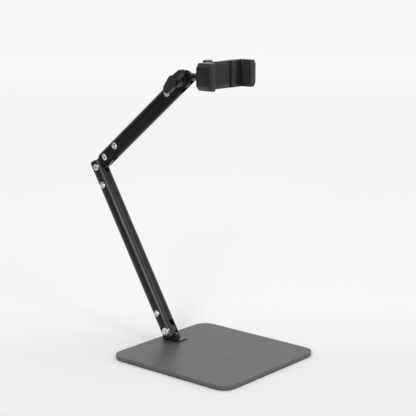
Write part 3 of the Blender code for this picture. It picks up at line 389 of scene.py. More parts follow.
class Graph:
    """A node tree under construction."""

    def __init__(self, tree: bpy.types.NodeTree) -> None:
        """Works on a tree that is there already."""
        self.tree = tree

    def node(
        self, kind: str, inputs: dict[str | int, object] | None = None, **settings: object
    ) -> bpy.types.Node:
        """Adds a node.

        Args:
            kind: The node's type.
            inputs: What goes into it, by identifier, name or number: another node's socket, or a plain value.
            **settings: Its properties.

        Returns:
            The node.
        """
        node = self.tree.nodes.new(kind)
        for key, value in settings.items():
            setattr(node, key, value)
        named = {socket.identifier: socket for socket in node.inputs}
        for key, value in (inputs or {}).items():
            socket = named[key] if key in named else node.inputs[key]
            if isinstance(value, bpy.types.NodeSocket):
                self.link(value, socket)
            else:
                socket.default_value = value
        return node

    def link(self, source: bpy.types.NodeSocket, target: bpy.types.NodeSocket) -> None:
        """Joins two sockets."""
        self.tree.links.new(source, target)

    def arithmetic(self, operation: str, a: object, b: object) -> bpy.types.NodeSocket:
        """A product, difference or greater of sockets and plain numbers."""
        return self.node("ShaderNodeMath", {0: a, 1: b}, operation=operation).outputs[0]

    def ranged(
        self, value: bpy.types.NodeSocket, source: Pair, target: Pair, shape: str = "LINEAR"
    ) -> bpy.types.NodeSocket:
        """A value carried from one range to another and held at its ends."""
        ends = {"From Min": source[0], "From Max": source[1], "To Min": target[0], "To Max": target[1]}
        node = self.node("ShaderNodeMapRange", {"Value": value, **ends}, clamp=True, interpolation_type=shape)
        return node.outputs[0]


class Tree(Graph):
    """A Geometry Nodes tree under construction, with named inputs for its sizes."""

    def __init__(self, name: str) -> None:
        """Starts a tree with one geometry going in and one coming out."""
        super().__init__(bpy.data.node_groups.new(name, "GeometryNodeTree"))
        for way in ("INPUT", "OUTPUT"):
            self.tree.interface.new_socket("Geometry", in_out=way, socket_type="NodeSocketGeometry")
        self.identifiers: dict[str, str] = {}
        self.entry = self.node("NodeGroupInput")
        self.exit = self.node("NodeGroupOutput")

    def add_input(self, name: str, kind: str = "Float") -> bpy.types.NodeSocket:
        """Adds a named input.

        Args:
            name: The input's name, such as "Pitch".
            kind: Its socket type without the prefix, such as "Float".

        Returns:
            The socket inside the tree.
        """
        item = self.tree.interface.new_socket(name, in_out="INPUT", socket_type=f"NodeSocket{kind}")
        self.identifiers[name] = item.identifier
        return self.entry.outputs[name]

    def vector(self, x: object = 0.0, y: object = 0.0, z: object = 0.0) -> bpy.types.NodeSocket:
        """A vector of sockets and plain numbers."""
        return self.node("ShaderNodeCombineXYZ", {0: x, 1: y, 2: z}).outputs[0]

    def wire(
        self, curve: bpy.types.NodeSocket, radius: bpy.types.NodeSocket, sides: int
    ) -> bpy.types.NodeSocket:
        """Round wire of so many sides along a curve, closed at its ends."""
        section = self.node("GeometryNodeCurvePrimitiveCircle", {"Resolution": sides, "Radius": radius})
        inputs = {"Curve": curve, "Profile Curve": section.outputs[0], "Fill Caps": True}
        return self.node("GeometryNodeCurveToMesh", inputs).outputs[0]

    def copies(self, points: bpy.types.NodeSocket, piece: bpy.types.NodeSocket) -> bpy.types.Node:
        """One copy of a piece at each point."""
        return self.node("GeometryNodeInstanceOnPoints", {"Points": points, "Instance": piece})

    def close(self, geometry: bpy.types.NodeSocket) -> None:
        """Ends the tree with real geometry that has its finish."""
        finish = self.add_input("Finish", "Material")
        realize = self.node("GeometryNodeRealizeInstances", {0: geometry})
        dress = self.node("GeometryNodeSetMaterial", {"Geometry": realize.outputs[0], "Material": finish})
        self.link(dress.outputs[0], self.exit.inputs[0])

    def run(
        self, name: str, spots: Sequence[Sequence[float]] = ((0.0, 0.0, 0.0),), **values: object
    ) -> bpy.types.Mesh:
        """Runs the tree.

        Args:
            name: The mesh's name.
            spots: The points that the tree starts from.
            **values: Its inputs by name, with _ for a space.

        Returns:
            The plain mesh that comes out.
        """
        host = bpy.data.meshes.new(name)
        host.from_pydata([tuple(spot) for spot in spots], [], [])
        bench = Bench()
        obj = bench.lay(host)
        for key, value in values.items():
            if isinstance(value, bpy.types.Mesh):
                values[key] = bench.lay(value)
        modifier = obj.modifiers.new("tree", "NODES")
        modifier.node_group = self.tree
        for key, value in values.items():
            modifier[self.identifiers[key.replace("_", " ")]] = value
        return bench.take(obj, name)


def fastener_tree() -> Tree:
    """Copies of one fastener at each point, each turned about its own axis by a chance angle."""
    tree = Tree("fasteners")
    piece = tree.add_input("Piece", "Object")
    turn = tree.add_input("Turn", "Rotation")
    seed = tree.add_input("Seed", "Int")
    info = tree.node("GeometryNodeObjectInfo", {"Object": piece})
    copies = tree.copies(tree.entry.outputs["Geometry"], info.outputs["Geometry"])
    tree.link(turn, copies.inputs["Rotation"])
    chance = tree.node("FunctionNodeRandomValue", {"Max_001": 2 * math.pi, "Seed": seed}, data_type="FLOAT")
    angle = tree.vector(z=chance.outputs[1])
    spin = tree.node("GeometryNodeRotateInstances", {"Instances": copies.outputs[0], "Rotation": angle})
    tree.close(spin.outputs[0])
    return tree


def rib_tree() -> Tree:
    """A row of round ribs along X, each running along Y."""
    tree = Tree("grip_ribs")
    count = tree.add_input("Count", "Int")
    pitch, length, radius = (tree.add_input(name) for name in ("Pitch", "Length", "Radius"))
    whole = tree.arithmetic("MULTIPLY", tree.arithmetic("SUBTRACT", count, 1.0), pitch)
    start = tree.vector(x=tree.arithmetic("MULTIPLY", whole, -0.5))
    places = {"Count": count, "Start Location": start, "Offset": tree.vector(x=pitch)}
    row = tree.node("GeometryNodeMeshLine", places, mode="OFFSET", count_mode="TOTAL")
    half = tree.arithmetic("MULTIPLY", length, 0.5)
    ends = {"Start": tree.vector(y=tree.arithmetic("MULTIPLY", half, -1.0)), "End": tree.vector(y=half)}
    spine = tree.node("GeometryNodeCurvePrimitiveLine", ends)
    rib = tree.wire(spine.outputs[0], radius, sides=12)
    tree.close(tree.copies(row.outputs[0], rib).outputs[0])
    return tree


def ridge_tree() -> Tree:
    """Upright ridges round a knob, standing on a ring."""
    tree = Tree("knob_ridges")
    count = tree.add_input("Count", "Int")
    ring, height, radius = (tree.add_input(name) for name in ("Ring", "Height", "Radius"))
    circle = tree.node("GeometryNodeMeshCircle", {"Vertices": count, "Radius": ring}, fill_type="NONE")
    spine = tree.node("GeometryNodeCurvePrimitiveLine", {"End": tree.vector(z=height)})
    ridge = tree.wire(spine.outputs[0], radius, sides=10)
    tree.close(tree.copies(circle.outputs[0], ridge).outputs[0])
    return tree


def coil_tree() -> Tree:
    """A helix of round wire that stands on Z."""
    tree = Tree("coil_spring")
    turns, radius, length, wire = (tree.add_input(name) for name in ("Turns", "Radius", "Length", "Wire"))
    helix = {"Resolution": 20, "Rotations": turns, "Height": length}
    helix |= {"Start Radius": radius, "End Radius": radius}
    spiral = tree.node("GeometryNodeCurveSpiral", helix)
    tree.close(tree.wire(spiral.outputs[0], wire, sides=8))
    return tree


# Finishes


class Surface(Graph):
    """A Principled material under construction."""

    def __init__(self, name: str) -> None:
        """Starts a material with one Principled shader."""
        self.material = bpy.data.materials.new(name)
        self.material.use_nodes = True
        super().__init__(self.material.node_tree)
        self.shader = self.tree.nodes["Principled BSDF"]

    def place(self, turn: float = 0.0, stretch: float = 1.0) -> bpy.types.NodeSocket:
        """Object coordinates, turned about Y and stretched.

        Args:
            turn: How far the pattern's X is raised over the object's, in radians.
            stretch: How much longer the pattern is along its own X.

        Returns:
            The vector socket.
        """
        spot = self.node("ShaderNodeTexCoord").outputs["Object"]
        raised_to = self.node("ShaderNodeMapping", {"Vector": spot, "Rotation": (0.0, turn, 0.0)})
        along = {"Vector": raised_to.outputs[0], "Scale": (1.0 / stretch, 1.0, 1.0)}
        return self.node("ShaderNodeMapping", along).outputs[0]

    def noise(self, place: bpy.types.NodeSocket, size: float, detail: float = 2.0) -> bpy.types.NodeSocket:
        """Cloudy noise whose patches are about size metres across."""
        inputs = {"Vector": place, "Scale": 1.0 / size, "Detail": detail}
        return self.node("ShaderNodeTexNoise", inputs).outputs["Fac"]

    def cells(self, place: bpy.types.NodeSocket, size: float) -> bpy.types.NodeSocket:
        """Pebbled cells about size metres across, highest at their rims."""
        inputs = {"Vector": place, "Scale": 1.0 / size, "Smoothness": 0.7}
        return self.node("ShaderNodeTexVoronoi", inputs, feature="SMOOTH_F1").outputs["Distance"]

    def gloss(self, cloud: bpy.types.NodeSocket, roughness: float, spread: float) -> None:
        """Roughness that follows a noise's middle range, so far either way of its mean."""
        ranged = self.ranged(cloud, (0.3, 0.7), (roughness - spread, roughness + spread))
        self.link(ranged, self.shader.inputs["Roughness"])

    def tint(self, share: bpy.types.NodeSocket, dark: Colour, light: Colour) -> None:
        """Colours the surface between two shades."""
        shades = {"Factor_Float": share, "A_Color": (*dark, 1.0), "B_Color": (*light, 1.0)}
        mix = self.node("ShaderNodeMix", shades, data_type="RGBA")
        results = {socket.identifier: socket for socket in mix.outputs}
        self.link(results["Result_Color"], self.shader.inputs["Base Color"])

    def relief(
        self, height: bpy.types.NodeSocket, depth: float, over: bpy.types.NodeSocket | None = None
    ) -> bpy.types.NodeSocket:
        """A bump of that depth in metres, over an earlier one if there is one."""
        bump = self.node("ShaderNodeBump", {"Strength": 1.0, "Distance": depth, "Height": height})
        if over is not None:
            self.link(over, bump.inputs["Normal"])
        self.link(bump.outputs[0], self.shader.inputs["Normal"])
        return bump.outputs[0]


@dataclass(frozen=True)
class Finish:
    """What all the finishes have. Each kind says how it dresses a surface."""

    contrast: ClassVar[float]
    name: str
    slot: str
    colour: Colour
    roughness: float
    metallic: float = 0.0
    spread: float = 0.05
    grain: float = 0.0005
    depth: float = 0.00001
    patch: float = 0.02
    turn: float = 0.0
    sheen_level: float = 0.5

    def material(self) -> bpy.types.Material:
        """The finish as a material, made once."""
        found = bpy.data.materials.get(self.name)
        if found is not None:
            return found
        surface = Surface(self.name)
        surface.shader.inputs["Metallic"].default_value = self.metallic
        surface.shader.inputs["Specular IOR Level"].default_value = self.sheen_level
        self.dress(surface)
        return surface.material

    def dress(self, surface: Surface) -> None:
        """Colours a surface and gives it its gloss and relief. Each kind does it in its own way."""
        raise NotImplementedError

    def shade(self, surface: Surface, share: bpy.types.NodeSocket, cloud: bpy.types.NodeSocket) -> None:
        """Shades a surface by one noise and sets its gloss by another."""
        dark, light = (tuple(channel * (1 + way * self.contrast) for channel in self.colour) for way in (-1, 1))
        surface.tint(share, dark, light)
        surface.gloss(cloud, self.roughness, self.spread)


@dataclass(frozen=True)
class PowderCoat(Finish):
    """Baked powder: pebbles under a slow waviness, with finer specks of colour."""

    contrast: ClassVar[float] = 0.22

    def dress(self, surface: Surface) -> None:
        """Pebbled skin with specks."""
        place = surface.place()
        specks = surface.noise(place, self.grain * 0.6, 2.0)
        self.shade(surface, specks, surface.noise(place, self.patch, 3.0))
        waves = surface.relief(surface.noise(place, self.grain * 8, 1.0), self.depth * 2)
        surface.relief(surface.cells(place, self.grain), self.depth, waves)


@dataclass(frozen=True)
class Anodised(Finish):
    """Dyed aluminium: drawn lines run along the tube under a satin skin."""

    contrast: ClassVar[float] = 0.15

    def dress(self, surface: Surface) -> None:
        """Lines along the pattern's X, with slow changes of gloss."""
        lines = surface.noise(surface.place(self.turn, 60.0), self.grain, 3.0)
        self.shade(surface, lines, surface.noise(surface.place(self.turn, 3.0), self.patch, 4.0))
        surface.relief(lines, self.depth)


@dataclass(frozen=True)
class Plated(Finish):
    """Bright plating: a slight haze and fine marks from tools and tumbling."""

    contrast: ClassVar[float] = 0.06

    def dress(self, surface: Surface) -> None:
        """Haze in patches and hair marks."""
        haze = surface.noise(surface.place(), self.patch, 5.0)
        self.shade(surface, haze, haze)
        surface.relief(surface.noise(surface.place(0.6, 14.0), self.grain, 4.0), self.depth)


@dataclass(frozen=True)
class Moulded(Finish):
    """Moulded plastic or rubber: a spark-eroded grain from the tool."""

    contrast: ClassVar[float] = 0.10

    def dress(self, surface: Surface) -> None:
        """Small pits with a slow change of gloss where hands touch it."""
        place = surface.place()
        cloud = surface.noise(place, self.patch, 4.0)
        self.shade(surface, cloud, cloud)
        pits = surface.relief(surface.cells(place, self.grain), self.depth)
        surface.relief(surface.noise(place, self.grain * 5, 2.0), self.depth, pits)


@dataclass(frozen=True)
class Finishes:
    """All the finishes of the stand. The tubes' own lines follow each arm."""

    lower_tube: Finish
    upper_tube: Finish
    plate: Finish = PowderCoat(
        "plate_powder_coat", "painted_steel", (0.071, 0.071, 0.075), 0.42,
        spread=0.03, grain=0.0007, depth=0.000012, patch=0.05,
    )
    fittings: Finish = PowderCoat(
        "fittings_paint", "painted_fittings", (0.008, 0.008, 0.009), 0.20,
        depth=0.000006, patch=0.012, sheen_level=0.8,
    )
    housing: Finish = Anodised(
        "housing_anodised", "anodised_aluminium", (0.008, 0.008, 0.009), 0.30, grain=0.0004, patch=0.012
    )
    knob: Finish = Moulded(
        "knob_plastic_grain", "knob_plastic", (0.008, 0.008, 0.0085), 0.40,
        grain=0.0004, patch=0.012, sheen_level=0.4,
    )
    clamp: Finish = Moulded(
        "clamp_plastic_grain", "clamp_plastic", (0.010, 0.010, 0.011), 0.24,
        grain=0.0004, patch=0.016, sheen_level=0.42,
    )
    rubber: Finish = Moulded(
        "rubber_skin", "rubber", (0.015, 0.015, 0.016), 0.40,
        spread=0.06, grain=0.0006, depth=0.00002, patch=0.010, sheen_level=0.3,
    )
    nylon: Finish = Moulded("nylon_skin", "nylon", (0.60, 0.60, 0.56), 0.48, depth=0.000006, patch=0.006)
    nickel: Finish = Plated(
        "nickel_plating", "nickel_plate", (0.74, 0.71, 0.65), 0.17,
        metallic=1.0, grain=0.0004, depth=0.000004, patch=0.004,
    )
    steel: Finish = Plated(
        "polished_ball_steel", "polished_steel", (0.62, 0.62, 0.63), 0.12,
        metallic=1.0, spread=0.03, grain=0.0003, depth=0.000002, patch=0.006,
    )


# Pieces


def add_piece(
    name: str, mesh: bpy.types.Mesh, finish: Finish, body: str | None, stands_for: Sequence[str] = ()
) -> bpy.types.Object:
    """Puts a finished mesh in the scene.

    Args:
        name: The piece's name.
        mesh: Its mesh, in the frame's metres.
        finish: Its surface.
        body: The CAD body that it rides on, or none for a piece that stretches between two.
        stands_for: The CAD nodes that it replaces.

    Returns:
        The piece.
    """
    mesh.materials.clear()
    mesh.materials.append(finish.material())
    mesh.shade_smooth()
    mesh.set_sharp_from_angle(angle=SMOOTH_ANGLE)
    obj = bpy.data.objects.new(name, mesh)
    bpy.context.scene.collection.objects.link(obj)
    if body is not None:
        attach(obj, body)
    if stands_for:
        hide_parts(*stands_for)
    LOG.info("%s: %d faces, on %s", name, len(mesh.polygons), body or "two bodies")
    return obj


def merged(name: str, meshes: Iterable[bpy.types.Mesh]) -> bpy.types.Mesh:
    """Several meshes as one."""
    shape = bmesh.new()
    for mesh in meshes:
        shape.from_mesh(mesh)
        bpy.data.meshes.remove(mesh)
    return as_mesh(shape, name)


@dataclass(frozen=True)
class Pivots:
    """Where the joints are, in the frame's metres."""

    base: Vector
    elbow_lower: Vector
    elbow_upper: Vector
    head: Vector
    ball: Vector

    @classmethod
    def read(cls, record: dict) -> Pivots:
        """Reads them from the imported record."""
        spots = {joint["name"]: joint.get("pos_m") for joint in record["behaviour"]["joints"]}
        names = ("base_hinge", "elbow_lower_hinge", "elbow_upper_hinge", "head_tilt", "ball_tilt")
        return cls(*(Vector(spots[name]) for name in names))


def slope(start: Vector, end: Vector) -> float:
    """How far the line between two pivots is raised over +X, in radians."""
    return math.atan2(end.z - start.z, end.x - start.x)


def raised(pivot: Vector, angle: float) -> Matrix:
    """A frame at a pivot whose X is raised over the frame's by an angle."""
    return Matrix.Translation(pivot) @ Matrix.Rotation(-angle, 4, "Y")


# Fasteners


class Seed(Enum):
    """The seeds of the fasteners' chance angles."""

    BOLT = 3
    NUT = 5
    HEAD_PIN = 7
    CUP = 11
    PLUG_SCREW = 13
    FOOT_SCREW = 17
    COVER_SCREW = 19


@dataclass(frozen=True)
class Recess:
    """A hexagonal recess: its radius, the height of its mouth and its depth."""

    radius: float
    top: float
    depth: float

    def cutter(self) -> bpy.types.Mesh:
        """What cuts it, with a chamfered mouth and a drill point under it."""
        mouth = self.radius * 1.06
        floor = self.top - self.depth
        profile = [
            (0, self.top + OVERCUT),
            (mouth + OVERCUT, self.top + OVERCUT),
            (mouth, self.top),
            (self.radius, self.top - self.radius * 0.10),
            (self.radius, floor),
            (0, floor - self.radius * 0.35),
        ]
        return turned("recess", profile, Steps.HEXAGON)


def screw_shape(
    name: str,
    corners: Outline,
    radii: Sequence[float],
    recess: Recess,
    arc_steps: int = 4,
    steps: Steps = Steps.SMALL,
) -> bpy.types.Mesh:
    """A screw on +Z.

    Args:
        name: The mesh's name.
        corners: (radius, height) points from the top down.
        radii: The radius of each corner.
        recess: The recess in its head.
        arc_steps: Pieces in each rounded corner.
        steps: Divisions round the axis.

    Returns:
        The closed mesh.
    """
    profile = fillet(corners, radii, closed=False, steps=arc_steps)
    return worked(turned(name, profile, steps), cuts(recess.cutter()))


@dataclass
class Fasteners:
    """The screws, pins and washers, with sizes from the arm's middle plane: most are nickel plated, the washers
    are nylon and the foot screw is painted like the fittings.
    """

    finishes: Finishes
    tree: Tree
    seat: float = 0.0067
    head_radius: float = 0.0057
    head_height: float = 0.0027
    base_head_radius: float = 0.0066
    base_flange: float = 0.0077
    flange_height: float = 0.0006
    bolt_radius: float = 0.0026
    bolt_dome: float = 0.0014
    bolt_short: float = 0.0013
    sleeve_radius: float = 0.0040
    sleeve_short: float = 0.0003
    sleeve_floor: float = 0.0010
    pin_radius: float = 0.0030
    pin_end: float = 0.0170
    low_dome: float = 0.0009
    socket: float = 0.0026
    socket_depth: float = 0.0015
    cup_base: float = 0.0105
    cup_height: float = 0.0013
    cup_radius: float = 0.0050
    cup_mouth: float = 0.0044
    cup_skirt: float = 0.0006
    cup_bore: float = 0.0022
    cup_well: float = 0.0040
    washer_radius: float = 0.0078
    washer_inner: float = 0.0030
    washer_outer: float = 0.0035

    def headed(
        self, name: str, head: float, dome: float, shank: float, end: float, flange: float = 0.0
    ) -> bpy.types.Mesh:
        """A low rounded head on a shank, with a hexagonal recess.

        Args:
            name: The mesh's name.
            head: Radius of the head.
            dome: Radius of the head's rim.
            shank: Radius of the shank.
            end: Height at which the shank ends.
            flange: Radius of a thin flange under the head, or 0 for none.

        Returns:
            The fastener, with its head's axis on +Z.
        """
        top = self.seat + self.head_height
        corners = [(0, top), (head, top)]
        radii = [0, dome]
        if flange > head:
            flange_top = self.seat + self.flange_height
            corners += [(head, flange_top), (flange, flange_top)]
            radii += [FINE, 2 * FINE]
        corners += [(max(head, flange), self.seat), (shank, self.seat), (shank, end), (0, end)]
        radii += [FINE, FINE, 3 * FINE, 0]
        return screw_shape(name, corners, radii, Recess(self.socket, top, self.socket_depth), 5, Steps.ROUND)

    def fit(
        self,
        name: str,
        mesh: bpy.types.Mesh,
        spots: Sequence[Vector],
        facing: Facing,
        seed: Seed,
        body: str,
        nodes: Sequence[str],
        finish: Finish | None = None,
    ) -> None:
        """Puts a fastener at each spot, facing one way and turned by chance, as one piece.

        Args:
            name: The piece's name.
            mesh: The fastener on +Z.
            spots: Where its origin goes.
            facing: Which way its +Z points.
            seed: The seed of the chance angles.
            body: The body that it rides on.
            nodes: The CAD nodes that it replaces.
            finish: Its surface, or none for nickel.
        """
        dressed = finish or self.finishes.nickel
        material = dressed.material()
        placed = self.tree.run(name, spots, Piece=mesh, Turn=facing.value, Seed=seed.value, Finish=material)
        add_piece(name, placed, dressed, body, nodes)

    def pins(self, name: str, spot: Vector, body: str, stem: str, head: float, flange: float = 0.0) -> None:
        """A hinge pin at a pivot: the bolt on the near side and its sleeve nut on the far side."""
        bolt = self.headed("bolt", head, self.bolt_dome, self.bolt_radius, -self.seat + self.bolt_short, flange)
        nut = self.headed("nut", head, self.low_dome, self.sleeve_radius, -self.seat + self.sleeve_short)
        bore = rod("bore", self.bolt_radius + GAP, -self.seat - OVERCUT, self.seat - self.sleeve_floor)
        nut = worked(nut, cuts(bore))
        self.fit(name + "_bolt", bolt, [spot], Facing.NEAR, Seed.BOLT, body, [stem + "_bolt"])
        self.fit(name + "_nut", nut, [spot], Facing.FAR, Seed.NUT, body, [stem + "_nut"])

    def head_pin(self, name: str, spot: Vector, body: str) -> None:
        """The pin of the head hinge, which enters from the far side."""
        pin = self.headed(name, self.head_radius, self.low_dome, self.pin_radius, -self.pin_end)
        self.fit(name, pin, [spot], Facing.FAR, Seed.HEAD_PIN, body, ["head_pin"])

    def plug_screws(
        self, name: str, spots: Sequence[Vector], body: str, nodes: Sequence[str], cups: Sequence[str]
    ) -> None:
        """The small screws that hold an arm's plugs, each in its cup washer.

        Args:
            name: What the two pieces' names start with.
            spots: The points on the tube's axis where the screws are.
            body: The arm's body.
            nodes: The screws' CAD nodes.
            cups: The cup washers' CAD nodes.
        """
        base = self.cup_base
        rim = base + self.cup_height
        corners = [
            (self.cup_mouth, rim),
            (self.cup_radius, base + self.cup_skirt),
            (self.cup_radius, base),
            (self.cup_bore, base),
            (self.cup_bore, base + FINE),
            (self.cup_well, base + 2 * FINE),
            (self.cup_mouth - 2 * FINE, rim - 3 * FINE),
        ]
        cup = turned("cup", fillet(corners, [FINE, 4 * FINE, FINE, 0, 0, FINE, FINE], steps=4), Steps.SMALL)
        head, shank, seat, end = 0.0034, 0.0019, base + 3 * FINE, 0.0036
        crown = [(0, rim + FINE), (head, rim - FINE), (head, seat), (shank, seat), (shank, end), (0, end)]
        screw = screw_shape("screw", crown, [0, 9 * FINE, FINE, FINE, 3 * FINE, 0], Recess(0.0016, rim, 0.0009))
        self.fit(name + "_cups", cup, spots, Facing.NEAR, Seed.CUP, body, cups)
        self.fit(name + "_screws", screw, spots, Facing.NEAR, Seed.PLUG_SCREW, body, nodes)

    def washers(self, name: str, spot: Vector, bore: float, body: str) -> None:
        """The two friction washers at a pivot. Their piece's name ends in _discs."""
        corners = ring(bore, self.washer_radius, self.washer_inner, self.washer_outer)
        profile = fillet(corners, 1.2 * FINE, steps=2)
        ways = (Facing.NEAR, Facing.FAR)
        sides = [moved(turned("washer", profile), shifted(*spot), way.matrix()) for way in ways]
        nodes = [f"{name}_washer_near", f"{name}_washer_far"]
        add_piece(name + "_discs", merged(name, sides), self.finishes.nylon, body, nodes)

    def foot_screw(self, name: str, spot: Vector) -> None:
        """The button-head screw in the bracket's foot."""
        top, shank, end = 0.0020, 0.0016, -0.0054
        crown = [(0, top), (0.0019, top - FINE / 2), (0.0034, top / 2), (0.0036, 0)]
        crown += [(shank, 0), (shank, end), (0, end)]
        radii = [0, 12 * FINE, 8 * FINE, FINE, FINE, 3 * FINE, 0]
        screw = screw_shape(name, crown, radii, Recess(0.0014, top, 0.0010))
        nodes, look = ["foot_screw"], self.finishes.fittings
        self.fit(name, screw, [spot], Facing.UP, Seed.FOOT_SCREW, "base", nodes, look)

    def cover_screws(self, name: str, spots: Sequence[Vector], nodes: Sequence[str]) -> None:
        """The clamp cover's small countersunk screws, which enter along +X."""
        top, head, shank, end = -0.00025, 0.0014, 0.0008, -0.0045
        crown = [(0, top), (head, top), (shank, -0.0009), (shank, end), (0, end)]
        screw = screw_shape(name, crown, [0, FINE, FINE, 2 * FINE, 0], Recess(0.0007, top, 0.0006), 3)
        screw.transform(Matrix.Rotation(math.pi, 4, "Y"))
        self.fit(name, screw, spots, Facing.FORWARD, Seed.COVER_SCREW, "clamp", nodes)


def dress_node(node: str, finish: Finish) -> None:
    """Gives a CAD node that stays its finish."""
    obj = bpy.data.objects[node]
    material = finish.material()
    if not obj.material_slots:
        obj.data.materials.append(material)
    for slot in obj.material_slots:
        slot.material = material
    LOG.info("%s: CAD node, %s", node, finish.name)


# The base


@dataclass
class Base:
    """The plate, its pad, the foot bracket and what holds it."""

    pivot: Vector
    finishes: Finishes
    fasteners: Fasteners
    corner: float = 0.022
    edge: float = 0.0007
    pad_corner: float = 0.0205
    tongue_half: float = 0.0027
    tongue_radius: float = 0.0104
    foot_rear: float = 0.010
    foot_front: float = 0.017
    nose_rise: float = 0.0020
    foot_reach: float = 0.021
    foot_bottom: float = -0.0141
    foot_top: float = -0.0125
    foot_corner: float = 0.004
    screw_ahead: float = 0.0035
    screw_out: float = 0.0158
    screw_hole: float = 0.0019
    screw_hole_depth: float = 0.0038
    sleeve_bore: float = SLEEVE_BORE
    under_screw_spread: float = 0.0075
    under_screw_shank: float = 0.0016
    under_screw_head: float = 0.0033
    under_screw_cone: float = 0.0017
    sink_lip: float = 0.0003

    def build(self) -> None:
        """Builds the base's pieces."""
        self.plate()
        self.pad()
        self.bracket()
        spot = Vector((self.screw_ahead, self.screw_out, self.foot_top + GAP))
        self.fasteners.foot_screw("foot_button_screw", self.pivot + spot)
        head, flange = self.fasteners.base_head_radius, self.fasteners.base_flange
        self.fasteners.pins("base_pin", self.pivot, "base", "base", head, flange)
        for node in ("under_screw_rear", "under_screw_front"):
            dress_node(node, self.finishes.nickel)

    def plate(self) -> None:
        """The heavy plate, with softly broken edges and its screw holes."""
        low, high = (Vector(corner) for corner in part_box("base_plate"))
        outline = fillet(rectangle((low.x, low.y), (high.x, high.y)), self.corner, steps=14)
        plate = prism("plate", outline, low.z, high.z, self.edge)
        hole = rod("hole", self.screw_hole, high.z - self.screw_hole_depth, high.z + OVERCUT, Steps.SMALL)
        tools = cuts(moved(hole, shifted(self.pivot.x + self.screw_ahead, self.screw_out)))
        top, cone, outside = high.z + OVERCUT, low.z + self.sink_lip, low.z - OVERCUT / 4
        shank, head = self.under_screw_shank, self.under_screw_head
        sink = [(0, top), (shank, top), (shank, cone + self.under_screw_cone), (head, cone), (head, outside)]
        for side in (-1, 1):
            cutter = turned("sink", sink + [(0, outside)], Steps.SMALL)
            tools += cuts(moved(cutter, shifted(self.pivot.x + side * self.under_screw_spread)))
        add_piece("plate", worked(plate, tools), self.finishes.plate, "base", ["base_plate"])

    def pad(self) -> None:
        """The thin pad, with a rolled edge."""
        low, high = (Vector(corner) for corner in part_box("base_pad"))
        outline = fillet(rectangle((low.x, low.y), (high.x, high.y)), self.pad_corner, steps=12)
        pad = prism("pad", outline, low.z, high.z, 0.0004)
        add_piece("pad", pad, self.finishes.rubber, "base", ["base_pad"])

    def bracket(self) -> None:
        """The tongue that the lower arm straddles, and its foot."""
        outline = arc((0, 0), self.tongue_radius, 0, 180, 40)
        outline += [(-self.tongue_radius, self.foot_bottom), (self.foot_front, self.foot_bottom)]
        outline.append((self.foot_front, -self.nose_rise))
        tongue = side_prism("bracket", outline, self.tongue_half)
        low = (-self.foot_rear, -self.tongue_half)
        corners = rectangle(low, (self.foot_front, self.foot_reach))
        foot_outline = fillet(corners, [0.0006, 0.0006, self.foot_corner, self.foot_corner], steps=8)
        foot = prism("foot", foot_outline, self.foot_bottom, self.foot_top)
        hole = rod("hole", self.screw_hole, -THROUGH, 0.0, Steps.SMALL)
        hole = moved(hole, shifted(self.screw_ahead, self.screw_out))
        tools = [(Operation.JOIN, foot)] + cuts(across(self.sleeve_bore), hole)
        mesh = moved(worked(tongue, tools, 0.00035), shifted(*self.pivot))
        add_piece("bracket", mesh, self.finishes.fittings, "base", ["foot_bracket"])


# The arms


class End(Enum):
    """An end of an arm: its share of the span and the way that leads inwards."""

    NEAR = (0.0, 1.0)
    FAR = (1.0, -1.0)


